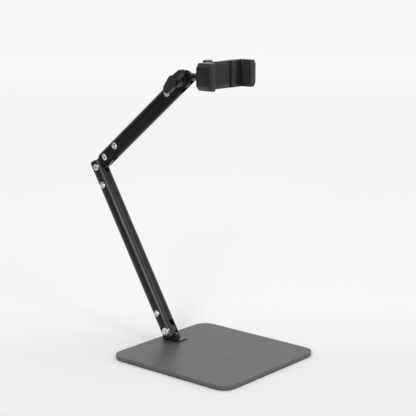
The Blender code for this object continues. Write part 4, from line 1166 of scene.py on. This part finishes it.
@dataclass
class Arm:
    """A tube with a fork at each end, filled by plugs."""

    name: str
    start: Vector
    end: Vector
    finish: Finish
    fasteners: Fasteners
    near_corners: Pair
    far_corners: Pair
    carries_head: bool = False
    radius: float = 0.0115
    wall: float = 0.0019
    end_reach: float = 0.0095
    slot_half: float = 0.0038
    slot_depth: float = 0.0135
    plug_depth: float = 0.037
    screw_inset: float = 0.029
    seat: float = 0.0064
    counterbore: float = 0.0063
    near_counterbore: float = 0.0063
    sleeve_bore: float = SLEEVE_BORE
    pin_bore: float = PIN_BORE
    lever_flat: float = 0.0092
    lever_seat: float = 0.0094
    spot_flat: float = 0.0053
    spot_height: float = 0.0102
    screw_bore: float = 0.0022
    screw_bore_end: float = 0.0033
    inner_corner: float = 0.001
    side_room: float = 0.00025
    edge: float = 0.0004

    @property
    def span(self) -> float:
        """Pivot to pivot."""
        return (self.end - self.start).length

    @property
    def frame(self) -> Matrix:
        """The arm's frame, with X from pivot to pivot."""
        return raised(self.start, slope(self.start, self.end))

    @property
    def body(self) -> str:
        """The body that the arm is."""
        return self.name + "_arm"

    def build(self) -> None:
        """Builds the tube, the plugs and their screws."""
        add_piece(self.body + "_tube", self.tube(), self.finish, self.body, [self.name + "_tube"])
        for end in End:
            label = end.name.lower()
            piece = f"{self.body}_fork_{label}"
            add_piece(piece, self.plug(end), self.finish, self.body, [f"{self.name}_plug_{label}"])
        spots = [self.frame @ Vector((self.along(end, self.screw_inset), 0, 0)) for end in End]
        nodes = [f"{self.name}_screw_{end.name.lower()}" for end in End]
        self.fasteners.plug_screws(self.body, spots, self.body, nodes, [node + "_cup" for node in nodes])

    def along(self, end: End, inwards: float) -> float:
        """The place along the arm that lies so far inwards of an end's pivot."""
        share, way = end.value
        return share * self.span + way * inwards

    def side_outline(self, low: float, high: float, near: Pair, far: Pair) -> Outline:
        """The arm's shape from the side, with round corners at its ends: the low one, then the high one."""
        side = self.radius + self.side_room
        corners = rectangle((low, -side), (high, side))
        return fillet(corners, [near[0], far[0], far[1], near[1]], steps=10)

    def end_tools(self, end: End, inside: bool) -> list[tuple[Operation, bpy.types.Mesh]]:
        """What cuts one end's fork.

        Args:
            end: Which end.
            inside: True for the plug, which alone has the pin's own hole.

        Returns:
            The tools.
        """
        x = self.along(end, 0.0)
        low, high = sorted((self.along(end, self.slot_depth), self.along(end, -self.end_reach - OVERCUT)))
        counterbore = self.near_counterbore if end is End.NEAR else self.counterbore
        tools = [
            block("slot", (low, -self.slot_half, -THROUGH), (high, self.slot_half, THROUGH)),
            across(counterbore, high=-self.seat, x=x),
        ]
        if self.carries_head and end is End.FAR:
            tools.append(across(self.pin_bore, x=x))
            if not inside:
                tools.append(across(self.lever_flat, self.lever_seat, x=x))
        else:
            tools.append(across(counterbore, self.seat, x=x))
            if inside:
                tools.append(across(self.sleeve_bore, x=x))
        screw = self.along(end, self.screw_inset)
        tools.append(across(self.screw_bore, self.screw_bore_end, x=screw, steps=Steps.SMALL))
        if not inside:
            tools.append(across(self.spot_flat, self.spot_height, x=screw, steps=Steps.SMALL))
        return cuts(*tools)

    def tube(self) -> bpy.types.Mesh:
        """The tube, bored right through and slotted at both ends."""
        low, high = -self.end_reach, self.span + self.end_reach
        wall = ring(self.radius - self.wall, self.radius, low, high)
        shape = moved(turned(self.body + "_tube", wall, Steps.TUBE), Facing.FORWARD.matrix())
        outline = self.side_outline(low, high, self.near_corners, self.far_corners)
        tools = [(Operation.KEEP, side_prism("ends", outline, 2 * self.radius))]
        for end in End:
            tools += self.end_tools(end, inside=False)
        return moved(worked(shape, tools, self.edge), self.frame)

    def plug(self, end: End) -> bpy.types.Mesh:
        """The solid fork plug of one end."""
        low, high = sorted((self.along(end, -self.end_reach), self.along(end, self.plug_depth)))
        radius = self.radius - self.wall - GAP
        shape = rod(self.body + "_plug", radius, low - OVERCUT, high + OVERCUT, Steps.TUBE)
        shape = moved(shape, Facing.FORWARD.matrix())
        inner = (self.inner_corner, self.inner_corner)
        corners = (self.near_corners, inner) if end is End.NEAR else (inner, self.far_corners)
        tools = [(Operation.KEEP, side_prism("ends", self.side_outline(low, high, *corners), 2 * self.radius))]
        tools += self.end_tools(end, inside=True)
        return moved(worked(shape, tools, self.edge), self.frame)


# The elbow


@dataclass
class Elbow:
    """The link between the arms, with its two pins and the washers beside it."""

    lower: Vector
    upper: Vector
    finishes: Finishes
    fasteners: Fasteners
    radius: float = 0.0104
    half_width: float = 0.0027
    bore: float = SLEEVE_BORE
    edge: float = 0.0004

    def build(self) -> None:
        """Builds the link, the pins and the washers of both pivots."""
        span = (self.upper - self.lower).length
        outline = arc((0, 0), self.radius, 90, 270, 32) + arc((span, 0), self.radius, -90, 90, 32)
        bores = cuts(across(self.bore), across(self.bore, x=span))
        link = worked(side_prism("link", outline, self.half_width), bores, self.edge)
        mesh = moved(link, raised(self.lower, slope(self.lower, self.upper)))
        add_piece("elbow_link_plate", mesh, self.finishes.fittings, "elbow", ["elbow_link"])
        lower, upper = ("elbow_lower", self.lower, "lower_arm"), ("elbow_upper", self.upper, "upper_arm")
        for name, spot, body in (lower, upper):
            self.fasteners.pins(name + "_pin", spot, "elbow", name, self.fasteners.head_radius)
            self.fasteners.washers(name, spot, self.bore, body)


# The head hinge's lever


@dataclass
class Lever:
    """The two-winged lever that clamps the head, with the washer under it."""

    pivot: Vector
    angle: float
    finishes: Finishes
    tip_spot: Pair = (0.0186, 0.0026)
    tip: float = 0.0029
    palm_spot: Pair = (-0.0161, -0.0013)
    palm: float = 0.0059
    shoulder_spot: Pair = (-0.0002, 0.0073)
    shoulder: float = 0.0018
    notch: Pair = (0.0050, 0.0056)
    heel: Pair = (-0.0011, -0.0062)
    waist: Pair = (0.0052, -0.0030)
    hub_radius: float = 0.0085
    start: float = 0.0108
    hub_height: float = 0.0095
    wing_start: float = 0.0150
    wing_depth: float = 0.0090
    bore: float = PIN_BORE
    bore_end: float = 0.0173
    washer_radius: float = 0.0065
    washer_span: Pair = (0.0097, 0.0105)
    edge: float = 0.0011

    def build(self) -> None:
        """Builds the lever and its washer."""
        add_piece("wing_lever", self.lever(), self.finishes.knob, "lever", ["clamp_lever"])
        profile = ring(self.bore, self.washer_radius, *self.washer_span)
        washer = turned("washer", fillet(profile, 1.5 * FINE, steps=3))
        washer = moved(washer, shifted(*self.pivot), Facing.NEAR.matrix())
        add_piece("lever_disc", washer, self.finishes.nickel, "upper_arm", ["lever_washer"])

    def outline(self) -> Outline:
        """The wings from the side: a narrow one past a notch, and a broad one for the thumb."""
        line = arc(self.tip_spot, self.tip, -72, 90, 16)
        line.append(self.notch)
        line += arc(self.shoulder_spot, self.shoulder, 20, 106, 6)
        line += arc(self.palm_spot, self.palm, 106, 268, 16)
        return line + [self.heel, self.waist]

    def lever(self) -> bpy.types.Mesh:
        """Wings and hub in one moulding."""
        half = self.wing_depth / 2
        wings = side_prism("wing_lever", self.outline(), half, self.edge, -(self.wing_start + half))
        profile = disc(self.hub_radius, self.start, self.start + self.hub_height)
        hub = turned("hub", fillet(profile, [0, 8 * FINE, 6 * FINE, 0], closed=False))
        tools = [(Operation.JOIN, moved(hub, Facing.NEAR.matrix()))]
        tools += cuts(across(self.bore, -OVERCUT, self.bore_end))
        return moved(worked(wings, tools), raised(self.pivot, self.angle))


# The ball head


@dataclass
class BallHead:
    """The knuckle and its neck, the ball in its housing, and the knob that locks it."""

    pivot: Vector
    ball: Vector
    finishes: Finishes
    ridges: Tree
    tongue_radius: float = 0.0104
    tongue_half: float = 0.0027
    bore: float = PIN_BORE
    neck_rise: float = 0.0056
    neck_radius: float = 0.00525
    neck_start: float = 0.0148
    neck_overlap: float = 0.002
    bar_inset: float = 0.00025
    spigot_radius: float = 0.0030
    spigot_bore: float = 0.0033
    housing_radius: float = 0.0115
    housing_mouth: float = 0.0046
    housing_rear: float = 0.0125
    housing_floor: float = 0.0088
    lip: float = 0.0096
    lip_slope: float = 0.0019
    grooves: Pair = (-0.0010, -0.0030)
    groove_half: float = 0.0004
    groove_depth: float = 0.0003
    shoulder: float = -0.0075
    tail_radius: float = 0.0062
    seat_radius: float = 0.0064
    socket: float = 0.0083
    boss_radius: float = 0.0048
    boss_span: Pair = (0.0095, 0.0128)
    lock_bore: float = 0.0029
    lock_bore_span: Pair = (0.004, 0.02)
    ball_radius: float = 0.008
    stud_end: float = 0.0221
    stud_radius: float = 0.003175
    stud_neck: float = 0.0026
    collar_radius: float = 0.0070
    collar_span: Pair = (0.0144, 0.0166)
    knob_start: float = 0.0140
    knob_height: float = 0.0098
    knob_radius: float = 0.0070
    knob_dome: float = 0.0003
    knob_well: float = 0.0063
    ridge_count: int = 30
    ridge_radius: float = 0.00055
    ridge_rise: float = 0.0006
    ridge_sink: float = 0.00005
    ridge_ends: Pair = (0.0010, 0.0014)

    def build(self) -> None:
        """Builds the head's pieces."""
        add_piece("neck", self.knuckle(), self.finishes.fittings, "head", ["head_knuckle"])
        add_piece("housing", self.housing(), self.finishes.housing, "head", ["ball_housing"])
        add_piece("ball", self.stud(), self.finishes.steel, "ball", ["ball_stud"])
        add_piece("knob", self.knob(), self.finishes.knob, "lock", ["lock_knob"])
        dress_node("ball_seat", self.finishes.nylon)
        dress_node("pressure_pad", self.finishes.nylon)
        dress_node("lock_screw", self.finishes.nickel)

    def knuckle(self) -> bpy.types.Mesh:
        """The tongue, and the round neck that runs level from it."""
        bar_end = self.neck_start + self.neck_overlap
        bottom = self.neck_rise - self.neck_radius + self.bar_inset
        lowest = math.degrees(math.asin(bottom / self.tongue_radius))
        outline = arc((0, 0), self.tongue_radius, 90, 360 + lowest, 56)
        outline += [(bar_end, bottom), (bar_end, self.tongue_radius)]
        tongue = side_prism("neck", outline, self.tongue_half)
        end = self.ball.x - self.pivot.x - self.housing_rear - GAP
        spigot_end = end + self.housing_rear - self.housing_floor
        corners = [
            (0, spigot_end),
            (self.spigot_radius, spigot_end),
            (self.spigot_radius, end),
            (self.neck_radius, end),
            (self.neck_radius, self.neck_start),
            (0, self.neck_start),
        ]
        profile = fillet(corners, [0, 0.0003, 0, 0.0005, 0.0016, 0], closed=False)
        neck = moved(turned("round", profile), shifted(z=self.neck_rise), Facing.FORWARD.matrix())
        mesh = worked(tongue, [(Operation.JOIN, neck)] + cuts(across(self.bore)), 0.0003, 45)
        return moved(mesh, shifted(*self.pivot))

    def housing(self) -> bpy.types.Mesh:
        """The turned housing: a rounded lip, two grooves and a boss for the lock screw."""
        radius = self.housing_radius
        outside = [(self.lip, self.housing_mouth), (radius, self.housing_mouth - self.lip_slope)]
        for middle in self.grooves:
            outside += [(radius, middle + self.groove_half), (radius - self.groove_depth, middle)]
            outside.append((radius, middle - self.groove_half))
        outside += [(radius, self.shoulder), (self.tail_radius, -self.housing_rear)]
        floor = -self.housing_floor
        bore = [(self.spigot_bore, -self.housing_rear), (self.spigot_bore, floor), (self.seat_radius, floor)]
        rear = math.degrees(math.asin(self.seat_radius / self.socket))
        mouth = math.degrees(math.acos(self.housing_mouth / self.socket))
        bowl = [(height, along) for along, height in arc((0, 0), self.socket, 180 - rear, mouth, 24)]
        shape = moved(turned("housing", outside + bore + bowl, Steps.TUBE), Facing.FORWARD.matrix())
        boss = turned("boss", fillet(disc(self.boss_radius, *self.boss_span), [0, 0.0005, 0, 0], closed=False))
        hole = rod("hole", self.lock_bore, *self.lock_bore_span, Steps.SMALL)
        mesh = worked(shape, [(Operation.JOIN, boss)] + cuts(hole), 0.0002, 40)
        return moved(mesh, shifted(*self.ball))

    def stud(self) -> bpy.types.Mesh:
        """The ball, its neck, the flange and the stud that enters the clamp."""
        collar_rear, collar_front = self.collar_span
        corners = [
            (0, self.stud_end),
            (self.stud_radius, self.stud_end),
            (self.stud_radius, collar_front),
            (self.collar_radius, collar_front),
            (self.collar_radius, collar_rear),
            (self.stud_neck, collar_rear),
            (self.stud_neck, self.ball_radius),
        ]
        profile = list(fillet(corners, [0, 0.0005, 0, 0.0004, 0.0004, 0.0008, 0], closed=False))
        neck = math.degrees(math.asin(self.stud_neck / self.ball_radius))
        profile = profile[:-1] + [(h, a) for a, h in arc((0, 0), self.ball_radius, neck, 178, 40)]
        profile.append((0, -self.ball_radius))
        return moved(turned("ball", profile, Steps.TUBE), shifted(*self.ball), Facing.FORWARD.matrix())

    def knob(self) -> bpy.types.Mesh:
        """The lock knob: a domed cap with ridges all round."""
        start, top = self.knob_start, self.knob_start + self.knob_height
        body, well, bore = self.knob_radius - self.ridge_rise, start + self.knob_well, self.lock_bore
        corners = [(0, top - self.knob_dome), (body * 0.6, top), (body, top), (body, start)]
        corners += [(bore, start), (bore, well), (0, well)]
        profile = fillet(corners, [0, 0.0015, 0.0010, 0.0006, 0.0002, 0, 0], closed=False)
        low, high = self.ridge_ends
        ridges = self.ridges.run(
            "ridges",
            Count=self.ridge_count,
            Ring=body - self.ridge_sink,
            Height=self.knob_height - low - high,
            Radius=self.ridge_radius,
            Finish=self.finishes.knob.material(),
        )
        pieces = [turned("knob", profile, Steps.TUBE), moved(ridges, shifted(z=start + low))]
        return moved(merged("knob", pieces), shifted(*self.ball))


# The phone clamp


@dataclass
class PhoneClamp:
    """The clamp's body with its fixed jaw, the sliding jaw, and the springs that pull it shut."""

    rear: Vector
    finishes: Finishes
    fasteners: Fasteners
    ribs: Tree
    coil: Tree
    half_height: float = 0.01805
    tip: float = 0.0229
    back: float = 0.0087
    body_rear: float = 0.0021
    body_front: float = 0.0074
    cavity_front: float = 0.0060
    cavity_half: float = 0.01345
    cavity_end: float = -0.0342
    outer: float = 0.0485
    face: float = 0.0362
    chamfer: float = 0.0062
    chamfer_width: float = 0.0046
    body_end: float = 0.0135
    cover_thickness: float = 0.0018
    cover_inset: float = 0.0003
    axis_drop: float = 0.0062
    boss_radius: float = 0.0080
    boss_height: float = 0.0040
    nut_radius: float = 0.0050
    nut_floor: float = -0.0027
    stud_bore: float = 0.003475
    carriage_rear: float = 0.00215
    carriage_front: float = 0.00565
    carriage_half: float = 0.0131
    carriage_end: float = -0.0300
    spring_slot: float = 0.018
    spring_room: float = 0.0026
    spring_spread: float = 0.0085
    spring_depth: float = 0.0039
    peg_radius: float = 0.0008
    peg_length: float = 0.003
    pad_inner: float = 0.0350
    pad_outer: float = 0.0359
    pad_half: float = 0.01455
    pad_front: Pair = (0.01045, 0.02115)
    pad_rib_face: float = 0.00045
    pad_rib_rise: float = 0.0005
    back_pad_span: Pair = (-0.0340, 0.0090)
    back_pad_half: float = 0.01355
    back_pad_faces: Pair = (0.0077, 0.0083)
    back_rib_face: float = 0.00825
    back_rib_length: float = 0.0400
    rib_radius: float = 0.0004
    pad_corner: float = 0.002
    pad_edge: float = 0.0002
    screw_ends: Pair = (-0.0385, 0.0095)
    screw_height: float = 0.01535
    screw_bore: float = 0.0011
    screw_bore_end: float = 0.0048
    screw_sink: float = 0.0020
    spring_turns: float = 11.0
    spring_radius: float = 0.0014
    spring_wire: float = 0.0003
    tip_radii: Pair = (0.0018, 0.0022)
    bend_radii: tuple[float, ...] = (0, 0.0016, 0.0018, 0.0012, 0.0008, 0)
    rounding: float = 0.0008
    rounding_angle: float = 28

    @property
    def frame(self) -> Matrix:
        """The middle of the clamp's rear face."""
        return shifted(*self.rear)

    @property
    def screw_spots(self) -> dict[str, Pair]:
        """The cover screws' places on Y and Z, by the ends of their nodes' names."""
        ends = zip(("near", "far"), self.screw_ends)
        levels = (("low", -self.screw_height), ("high", self.screw_height))
        return {f"{end}_{level}": (y, z) for end, y in ends for level, z in levels}

    def build(self) -> None:
        """Builds the clamp's pieces."""
        clamp, rubber = self.finishes.clamp, self.finishes.rubber
        add_piece("clamp_shell", self.shell(), clamp, "clamp", ["clamp_body"])
        add_piece("clamp_back", self.cover(), clamp, "clamp", ["clamp_cover"])
        add_piece("clamp_back_pad", self.back_pad(), rubber, "clamp", ["back_pad"])
        add_piece("clamp_jaw_pad", self.jaw_pad(-1), rubber, "clamp", ["fixed_jaw_pad"])
        add_piece("jaw_shell", self.sliding_jaw(), clamp, "jaw", ["sliding_jaw"])
        add_piece("jaw_shell_pad", self.jaw_pad(1), rubber, "jaw", ["sliding_jaw_pad"])
        self.springs()
        spots = [self.rear + Vector((0, y, z)) for y, z in self.screw_spots.values()]
        self.fasteners.cover_screws("cover_screws", spots, ["cover_screw_" + name for name in self.screw_spots])
        dress_node("mount_nut", self.finishes.nickel)

    def front_outline(self, inner: float, outer: float, inset: float = 0.0) -> Outline:
        """The shape from the front: square at one end, with cut corners at the other."""
        top = self.half_height - inset
        cut = math.copysign(self.chamfer_width, outer - inner)
        corners = [(inner, -top), (outer - cut, -top), (outer, -top + self.chamfer)]
        corners += [(outer, top - self.chamfer), (outer - cut, top), (inner, top)]
        flat, slant = self.tip_radii
        return fillet(corners, [0, flat, slant, slant, flat, 0])

    def angle_piece(self, name: str, rear: float, front: float, end: float, side: int) -> bpy.types.Mesh:
        """A jaw and the plate behind the phone as one bent shape.

        Args:
            name: The mesh's name.
            rear: The plate's rear face.
            front: The plate's front face.
            end: Where the plate ends.
            side: Which way the jaw lies, -1 or 1.

        Returns:
            The shape, with square corners only where the plate ends.
        """
        outer, face = side * self.outer, side * self.face
        corners = [(rear, end), (rear, outer), (self.tip, outer), (self.tip, face), (front, face), (front, end)]
        shape = prism(name, fillet(corners, self.bend_radii, steps=6), -self.half_height, self.half_height)
        limits = front_prism("limits", self.front_outline(end, outer), rear - OVERCUT, self.tip + OVERCUT)
        return worked(shape, [(Operation.KEEP, limits)])

    def pegs(self, y: float, facing: Facing) -> list[tuple[Operation, bpy.types.Mesh]]:
        """The two pegs that hold the springs' ends."""
        tools = []
        for side in (-1, 1):
            peg = rod("peg", self.peg_radius, -0.001, self.peg_length, Steps.SMALL)
            spot = shifted(self.spring_depth, y, side * self.spring_spread)
            tools.append((Operation.JOIN, moved(peg, spot, facing.matrix())))
        return tools

    def shell(self) -> bpy.types.Mesh:
        """The body: fixed jaw, front wall and side walls round the carriage's room."""
        shape = self.angle_piece("clamp_shell", self.body_rear, self.body_front, self.body_end, -1)
        low = (self.body_rear - OVERCUT, self.cavity_end, -self.cavity_half)
        high = (self.cavity_front, self.body_end + OVERCUT, self.cavity_half)
        tools = cuts(block("room", low, high))
        for y, z in self.screw_spots.values():
            hole = rod("hole", self.screw_bore, 0, self.screw_bore_end, Steps.SMALL)
            tools += cuts(moved(hole, shifted(0, y, z), Facing.FORWARD.matrix()))
        shape = worked(shape, tools, self.rounding, self.rounding_angle)
        return moved(worked(shape, self.pegs(self.cavity_end, Facing.FAR)), self.frame)

    def cover(self) -> bpy.types.Mesh:
        """The rear cover, with the boss that the stud screws into."""
        inset = self.cover_inset
        outline = self.front_outline(self.body_end - inset, -self.outer + inset, inset)
        cover = front_prism("clamp_back", outline, 0, self.cover_thickness)
        boss_profile = disc(self.boss_radius, -OVERCUT / 4, self.boss_height)
        boss = turned("boss", fillet(boss_profile, [0, 0.0010, 0, 0], closed=False))
        at_stud = shifted(z=-self.axis_drop)
        forward, backward = Facing.FORWARD.matrix(), Facing.BACKWARD.matrix()
        pocket = rod("pocket", self.nut_radius + GAP, self.nut_floor, OVERCUT, Steps.HEXAGON)
        hole = rod("stud_hole", self.stud_bore, -self.boss_height - OVERCUT, OVERCUT)
        tools = [(Operation.JOIN, moved(boss, at_stud, backward))]
        tools += cuts(moved(pocket, at_stud, forward), moved(hole, at_stud, forward))
        head, bore = self.screw_sink, self.screw_bore
        sink = [(0, OVERCUT), (head, OVERCUT), (head, -inset), (bore, -bore), (bore, -OVERCUT), (0, -OVERCUT)]
        for y, z in self.screw_spots.values():
            tools += cuts(moved(turned("sink", sink, Steps.SMALL), shifted(0, y, z), backward))
        return moved(worked(cover, tools, 0.0003), self.frame)

    def rib_row(self, count: int, pitch: float, length: float) -> bpy.types.Mesh:
        """A row of grip ribs about the origin."""
        material = self.finishes.rubber.material()
        return self.ribs.run(
            "ribs", Count=count, Pitch=pitch, Length=length, Radius=self.rib_radius, Finish=material
        )

    def back_pad(self) -> bpy.types.Mesh:
        """The soft pad behind the phone, with ribs along its width."""
        low, high = self.back_pad_span
        corners = rectangle((low, -self.back_pad_half), (high, self.back_pad_half))
        corners = fillet(corners, self.pad_corner, steps=6)
        sheet = front_prism("clamp_back_pad", corners, *self.back_pad_faces, self.pad_edge)
        ribs = self.rib_row(16, 0.0016, self.back_rib_length)
        ribs = moved(ribs, shifted(self.back_rib_face, (low + high) / 2), Facing.BACKWARD.matrix())
        return moved(merged("clamp_back_pad", [sheet, ribs]), self.frame)

    def jaw_pad(self, side: int) -> bpy.types.Mesh:
        """The grip pad on a jaw's inner face, with upright ribs."""
        rear, front = self.pad_front
        corners = fillet(rectangle((rear, -self.pad_half), (front, self.pad_half)), self.pad_corner, steps=6)
        rib_foot = self.pad_inner + self.pad_rib_rise
        half, middle = (self.pad_outer - rib_foot) / 2, (self.pad_outer + rib_foot) / 2
        sheet = side_prism("jaw_pad", corners, half, self.pad_edge, side * middle)
        ribs = self.rib_row(6, 0.0017, 2 * (self.pad_half - self.pad_corner))
        place = shifted((rear + front) / 2, side * (self.pad_inner + self.pad_rib_face))
        ribs = moved(ribs, place, Facing.NEAR.matrix())
        return moved(merged("jaw_pad", [sheet, ribs]), self.frame)

    def sliding_jaw(self) -> bpy.types.Mesh:
        """The sliding jaw and the flat carriage that runs inside the body."""
        shape = self.angle_piece("jaw_shell", 0.0, self.back, self.body_end + GAP, 1)
        shape = worked(shape, (), self.rounding, self.rounding_angle)
        low = (self.carriage_rear, self.carriage_end, -self.carriage_half)
        high = (self.carriage_front, self.body_end + OVERCUT, self.carriage_half)
        tools = [(Operation.JOIN, block("carriage", low, high))]
        slot_end = self.carriage_end + self.spring_slot
        for side in (-1, 1):
            middle = side * self.spring_spread
            low = (0.0, self.carriage_end - OVERCUT, middle - self.spring_room)
            high = (2 * OVERCUT, slot_end, middle + self.spring_room)
            tools += cuts(block("slot", low, high))
        tools += self.pegs(slot_end, Facing.NEAR)
        return moved(worked(shape, tools), self.frame)

    def springs(self) -> None:
        """The two springs, built at one length between the body's pegs and the carriage's pegs; on the real
        clamp they stretch as the jaw is pulled out.
        """
        start = self.cavity_end + GAP
        end = self.carriage_end + self.spring_slot - GAP
        for side, label in ((-1, "low"), (1, "high")):
            mesh = self.coil.run(
                "coil_" + label,
                Turns=self.spring_turns,
                Radius=self.spring_radius,
                Length=end - start - 2 * self.spring_wire,
                Wire=self.spring_wire,
                Finish=self.finishes.nickel.material(),
            )
            spot = shifted(self.spring_depth, start + self.spring_wire, side * self.spring_spread)
            mesh = moved(mesh, self.frame, spot, Facing.FAR.matrix())
            obj = add_piece("coil_" + label, mesh, self.finishes.nickel, None, ["jaw_spring_" + label])
            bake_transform(obj)


# The studio


@dataclass(frozen=True)
class Lamp:
    """A soft oblong lamp that looks at a point."""

    name: str
    spot: Spot
    aim: Spot
    size: Pair
    power: float

    def hang(self) -> None:
        """Puts the lamp in the scene."""
        data = bpy.data.lights.new(self.name, "AREA")
        data.shape = "RECTANGLE"
        data.size, data.size_y = self.size
        data.energy = self.power
        obj = bpy.data.objects.new(self.name, data)
        obj.location = self.spot
        obj.rotation_euler = (Vector(self.aim) - Vector(self.spot)).to_track_quat("-Z", "Y").to_euler()
        bpy.context.scene.collection.objects.link(obj)


@dataclass(frozen=True)
class Studio:
    """The pale floor, the soft lamps and the camera."""

    camera_spot: Spot = (1.0248, -1.2257, 0.5465)
    camera_turn: Spot = (78.18, 0.0, 40.20)
    lens: float = 103.85
    sensor: float = 36.0
    farthest: float = 200.0
    lamps: tuple[Lamp, ...] = (
        Lamp("key", (0.62, -1.66, 0.94), (-0.1, 0.0, 0.2), (0.5, 0.35), 18.0),
        Lamp("side", (1.42, -0.28, 1.33), (-0.15, 0.0, 0.15), (0.5, 0.5), 6.0),
        Lamp("low", (1.35, -1.35, 0.22), (0.0, 0.0, 0.38), (0.5, 0.5), 4.0),
        Lamp("top", (-0.3, 0.6, 2.4), (0.0, 0.0, 0.0), (1.6, 1.6), 9.0),
    )
    floor_half: float = 30.0
    floor_roughness: float = 0.9
    floor_sheen_level: float = 0.1
    # Painted light and shade: the floor is painted dark in front, out of view, so reflections there are dark,
    # and paler far off.
    painted_floor_tones: tuple[Pair, ...] = ((0.0, 0.12), (0.4, 0.62), (0.5, 0.645), (0.62, 0.74), (1.0, 0.785))
    toned_ground: Pair = (-1.0, 1.0)
    glowing_ground: Pair = (-0.25, 4.0)
    # Painted light: the floor's glow for camera, glossy and transmission rays rises with distance.
    painted_glow: Pair = (0.05, 0.30)
    dark_side: float = -120.0
    dark_edge: Pair = (-0.9, -0.35)
    surround: Pair = (0.12, 0.90)
    seen_strength: float = 0.95

    def build(self) -> None:
        """Sets the stage."""
        self.floor()
        self.world()
        for lamp in self.lamps:
            lamp.hang()
        self.camera()
        bpy.context.scene.view_settings.view_transform = "Standard"

    def floor(self) -> None:
        """A large floor with painted light and shade: its colour is painted a little paler with distance and
        dims in front of what the camera sees, and its glow rises with distance.
        """
        half = self.floor_half
        corners = rectangle((-half, -half), (half, half))
        mesh = bpy.data.meshes.new("floor")
        mesh.from_pydata([(x, y, 0) for x, y in corners], [], [(0, 1, 2, 3)])
        obj = bpy.data.objects.new("floor", mesh)
        bpy.context.scene.collection.objects.link(obj)
        surface = Surface("pale_floor")
        shader = surface.shader.inputs
        shader["Roughness"].default_value = self.floor_roughness
        shader["Specular IOR Level"].default_value = self.floor_sheen_level
        shader["Emission Color"].default_value = (1.0, 1.0, 1.0, 1.0)
        spot = surface.node("ShaderNodeTexCoord").outputs["Object"]
        away = (0, 0, math.radians(-self.camera_turn[2]))
        turn = surface.node("ShaderNodeMapping", {"Vector": spot, "Rotation": away})
        distance = surface.node("ShaderNodeSeparateXYZ", {0: turn.outputs[0]}).outputs["Y"]
        painted_tones = surface.node("ShaderNodeValToRGB", {0: surface.ranged(distance, self.toned_ground, (0.0, 1.0))})
        elements = painted_tones.color_ramp.elements
        while len(elements) < len(self.painted_floor_tones):
            elements.new(1.0)
        for element, (place, tone) in zip(elements, self.painted_floor_tones):
            element.position = place
            element.color = (tone, tone, tone, 1.0)
        surface.link(painted_tones.outputs["Color"], shader["Base Color"])
        rays = surface.node("ShaderNodeLightPath").outputs
        seen = surface.arithmetic("MAXIMUM", rays["Is Camera Ray"], rays["Is Glossy Ray"])
        shown = surface.arithmetic("MAXIMUM", seen, rays["Is Transmission Ray"])
        painted_glow = surface.ranged(distance, self.glowing_ground, self.painted_glow)
        surface.link(surface.arithmetic("MULTIPLY", painted_glow, shown), shader["Emission Strength"])
        mesh.materials.append(surface.material)

    def world(self) -> None:
        """A surround that is dim on one side and bright on the others, and pale where it is seen."""
        world = bpy.data.worlds.new("surround")
        bpy.context.scene.world = world
        world.use_nodes = True
        graph = Graph(world.node_tree)
        background = graph.tree.nodes["Background"]
        background.inputs["Color"].default_value = (1.0, 1.0, 1.0, 1.0)
        spot = graph.node("ShaderNodeTexCoord").outputs["Generated"]
        away = (0, 0, math.radians(180 - self.dark_side))
        turn = graph.node("ShaderNodeMapping", {"Vector": spot, "Rotation": away})
        side = graph.node("ShaderNodeSeparateXYZ", {0: turn.outputs[0]}).outputs["X"]
        light = graph.ranged(side, self.dark_edge, self.surround, "SMOOTHSTEP")
        seen = graph.node("ShaderNodeLightPath").outputs["Is Camera Ray"]
        strengths = {"Factor_Float": seen, "A_Float": light, "B_Float": self.seen_strength}
        level = graph.node("ShaderNodeMix", strengths)
        graph.link(level.outputs["Result"], background.inputs["Strength"])

    def camera(self) -> None:
        """The photograph's view."""
        data = bpy.data.cameras.new("photograph_view")
        data.lens = self.lens
        data.sensor_width = self.sensor
        data.clip_end = self.farthest
        obj = bpy.data.objects.new("photograph_view", data)
        obj.location = self.camera_spot
        obj.rotation_euler = [math.radians(angle) for angle in self.camera_turn]
        bpy.context.scene.collection.objects.link(obj)
        bpy.context.scene.camera = obj


# The whole stand


CLAMP_OFFSET = Vector((0.0632, 0.0, 0.0118))  # from the head's pivot to the middle of the clamp's rear face


def tube_finish(name: str, start: Vector, end: Vector, shade: float, level: float) -> Finish:
    """A tube's anodised finish, whose drawn lines follow its arm. Its colour and sheen level are set for each
    tube as painted light and shade.
    """
    colour = (shade, shade, shade * 1.05)
    return Anodised(
        name, "anodised_aluminium", colour, 0.34,
        grain=0.0004, depth=0.000006, patch=0.03, turn=slope(start, end), sheen_level=level,
    )


def main() -> None:
    """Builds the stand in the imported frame, then the studio round it."""
    logging.basicConfig(level=logging.INFO, format="%(message)s")
    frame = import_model()
    pivots = Pivots.read(frame["record"])
    finishes = Finishes(
        # The lower tube's lighter, glossier copy of the anodised finish is painted light; the upper tube's
        # darker, less glossy copy is painted shade.
        tube_finish("lower_tube_anodised", pivots.base, pivots.elbow_lower, 0.010, 0.26),
        tube_finish("upper_tube_anodised", pivots.elbow_upper, pivots.head, 0.003, 0.16),
    )
    fasteners = Fasteners(finishes, fastener_tree())

    Base(pivots.base, finishes, fasteners).build()
    fasteners.washers("base", pivots.base, SLEEVE_BORE, "lower_arm")
    Arm(
        "lower", pivots.base, pivots.elbow_lower, finishes.lower_tube, fasteners,
        near_corners=(0.008, 0.008), far_corners=(0.009, 0.0050), near_counterbore=0.0080,
    ).build()
    Elbow(pivots.elbow_lower, pivots.elbow_upper, finishes, fasteners).build()
    Arm(
        "upper", pivots.elbow_upper, pivots.head, finishes.upper_tube, fasteners,
        near_corners=(0.004, 0.007), far_corners=(0.004, 0.004), carries_head=True,
    ).build()
    fasteners.washers("head", pivots.head, PIN_BORE, "upper_arm")
    fasteners.head_pin("head_hinge_pin", pivots.head, "upper_arm")
    Lever(pivots.head, slope(pivots.elbow_upper, pivots.head), finishes).build()
    BallHead(pivots.head, pivots.ball, finishes, ridge_tree()).build()
    PhoneClamp(pivots.head + CLAMP_OFFSET, finishes, fasteners, rib_tree(), coil_tree()).build()

    Studio().build()


if __name__ == "__main__":
    main()
